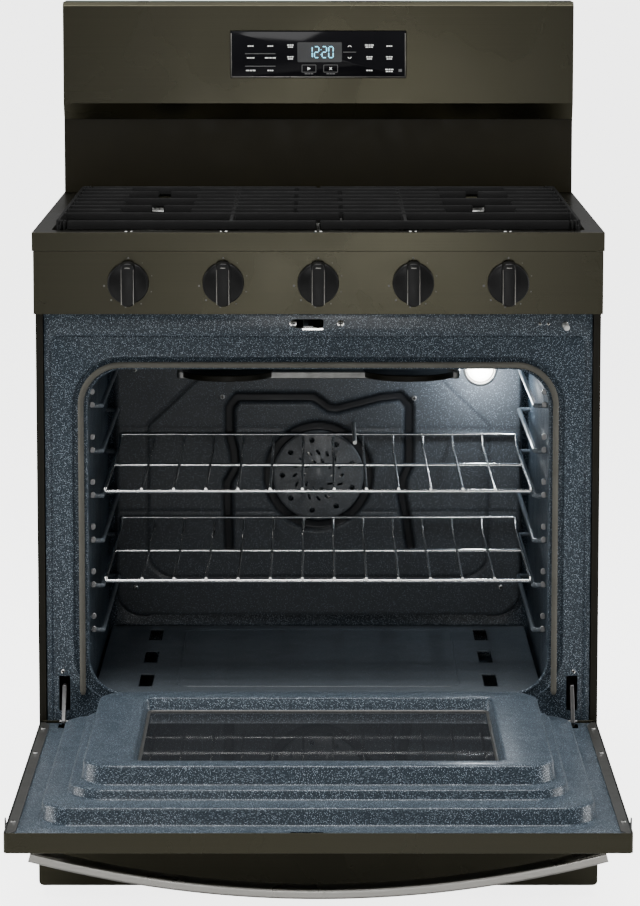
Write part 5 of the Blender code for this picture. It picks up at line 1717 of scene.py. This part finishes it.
handleLook = {
    "endInset": 0.027, "standoff": 0.0185, "bow": 0.0465, "thick": 0.014, "wide": 0.028, "blockWide": 0.054,
    "height": 0.7265, "doorHalf": 0.3785, "stations": 48,
}


def makeHandle():
    look = handleLook
    height = look["height"]
    reach = look["doorHalf"] - look["endInset"]
    thick, wide = look["thick"] / 2, look["wide"] / 2
    section = []  # across the closed door's height, and outwards
    for number, (up, out) in enumerate(((1, 1), (-1, 1), (-1, -1), (1, -1))):
        radius = 0.005 if out > 0 else 0.004
        middle = (up * (wide - radius), out * (thick - radius))
        for step in quarter(4):
            angle = math.pi / 2 * number + step
            section.append((middle[0] + radius * math.cos(angle), middle[1] + radius * math.sin(angle)))
    shape = bmesh.new()
    rings = []
    stations = look["stations"]
    for i in range(stations + 1):
        share = 2 * i / stations - 1
        x = share * reach
        out = look["standoff"] + look["bow"] * (1 - share * share)
        slope = -2 * look["bow"] * share / reach
        tilt = math.atan(slope)
        ring = []
        for across, outward in section:
            px = x - outward * math.sin(tilt)
            depth = -(out + outward * math.cos(tilt))
            ring.append(doorPoint(px, depth, height + across))
        rings.append(ring)
    loft(shape, rings, (True, True))
    newPiece(shape, "door_handle_bar", "handle_steel", "door", ("door_handle",), angle=40)
    shape = bmesh.new()
    for side in (-1, 1):
        near, far = reach - look["blockWide"] + 0.004, reach + 0.001
        rings = []
        for depth, inset in (
            (-0.0003, 0.0006), (-0.0012, 0.0), (-0.0105, 0.0), (-0.0125, 0.0008), (-0.0135, 0.0024)
        ):
            bottom, top = height - wide - 0.001 + inset, height + wide + 0.004 - inset
            ring = roundedRing(near + inset * 2, far - inset, bottom, top, 0.004, 4)
            rings.append([doorPoint(side * x, depth, z) for x, z in ring])
        loft(shape, rings, (True, True))
    newPiece(shape, "door_handle_blocks", "handle_steel", "door")


makeDoorLiner()
makeWindowTrim()
makeHandle()
print("door ready")

# feet, screws and the back

legLook = {"threads": 9, "stud": 0.0046, "crest": 0.0049}


def makeLegs():
    look = legLook
    for row in ("front", "rear"):
        for name, _ in sides(f"leveling_leg_{row}"):
            low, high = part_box(name)
            x, y, _ = middleOf(name)
            radius = (high.x - low.x) / 2
            shape = bmesh.new()
            profile = [
                (radius * 0.86, 0.0),
                (radius, 0.0012),
                (radius, 0.0045),
                (radius * 0.66, 0.0105),
                (0.0062, 0.0118),
            ]
            turn(shape, profile, (x, y, 0), "Z", 32)
            stud = [(look["stud"], 0.0110)]
            pitch = (high.z - 0.0125) / look["threads"]
            for thread in range(look["threads"]):
                z = 0.0120 + thread * pitch
                stud += [(look["stud"], z), (look["crest"], z + pitch * 0.5)]
            stud.append((0.0040, high.z))
            turn(shape, stud, (x, y, 0), "Z", 20)
            newPiece(shape, f"{name}_turned", "bare_steel", "root", (name,))


def makeSwitch():
    low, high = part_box("door_switch_button")
    x, _, z = middleOf("door_switch_button")
    radius = (high.x - low.x) / 2
    shape = bmesh.new()
    dome = ((0.0006, 0.0), (radius * 0.6, 0.0003), (radius * 0.9, 0.0012), (radius, 0.0028))
    profile = [(across, low.y + back) for across, back in dome] + [(radius, high.y)]
    turn(shape, profile, (x, 0, z), "Y", 28)
    newPiece(shape, "door_switch_plunger", "white_plastic", "door_switch", ("door_switch_button",))


def makeFrameScrews():
    y, row = frameLow.y, 0.777
    spots = [(-0.034, row, 0.0046), (0.030, row, 0.0046), (0.298, row, 0.0024), (0.309, row, 0.0024)]
    spots += [(-0.347, 0.300, 0.0032), (0.347, 0.300, 0.0032)]
    screwPieces("frame", [((x, y, z), radius) for x, z, radius in spots], "Y", -1, "chrome_wire")
    shape = bmesh.new()  # bright lip under the latch slot
    low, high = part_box("latch_hook")
    z = (low.z + high.z) / 2
    lip = roundedRing(low.x + 0.002, high.x + 0.014, z - 0.0088, z - 0.0058, 0.0012, 3)
    extrude(shape, lip, y - 0.0016, y + 0.0004, "Y", 0.0004)
    newPiece(shape, "latch_keeper", "chrome_wire")


def makeBackScrews():
    low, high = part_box("rear_panel")
    y, inset = high.y - 0.0020, 0.010
    levels = [low.z + 0.04 + (high.z - low.z - 0.08) * step / 5 for step in range(6)]
    spots = [(side * (high.x - inset), z) for side in (-1, 1) for z in levels]
    spots += [(-0.28 + 0.14 * step, z) for step in range(5) for z in (high.z - inset, low.z + inset)]
    screwPieces("rear_panel", [((x, y, z), 0.0042) for x, z in spots], "Y", 0.85)


makeLegs()
makeSwitch()
makeFrameScrews()
makeBackScrews()
print("fasteners ready")
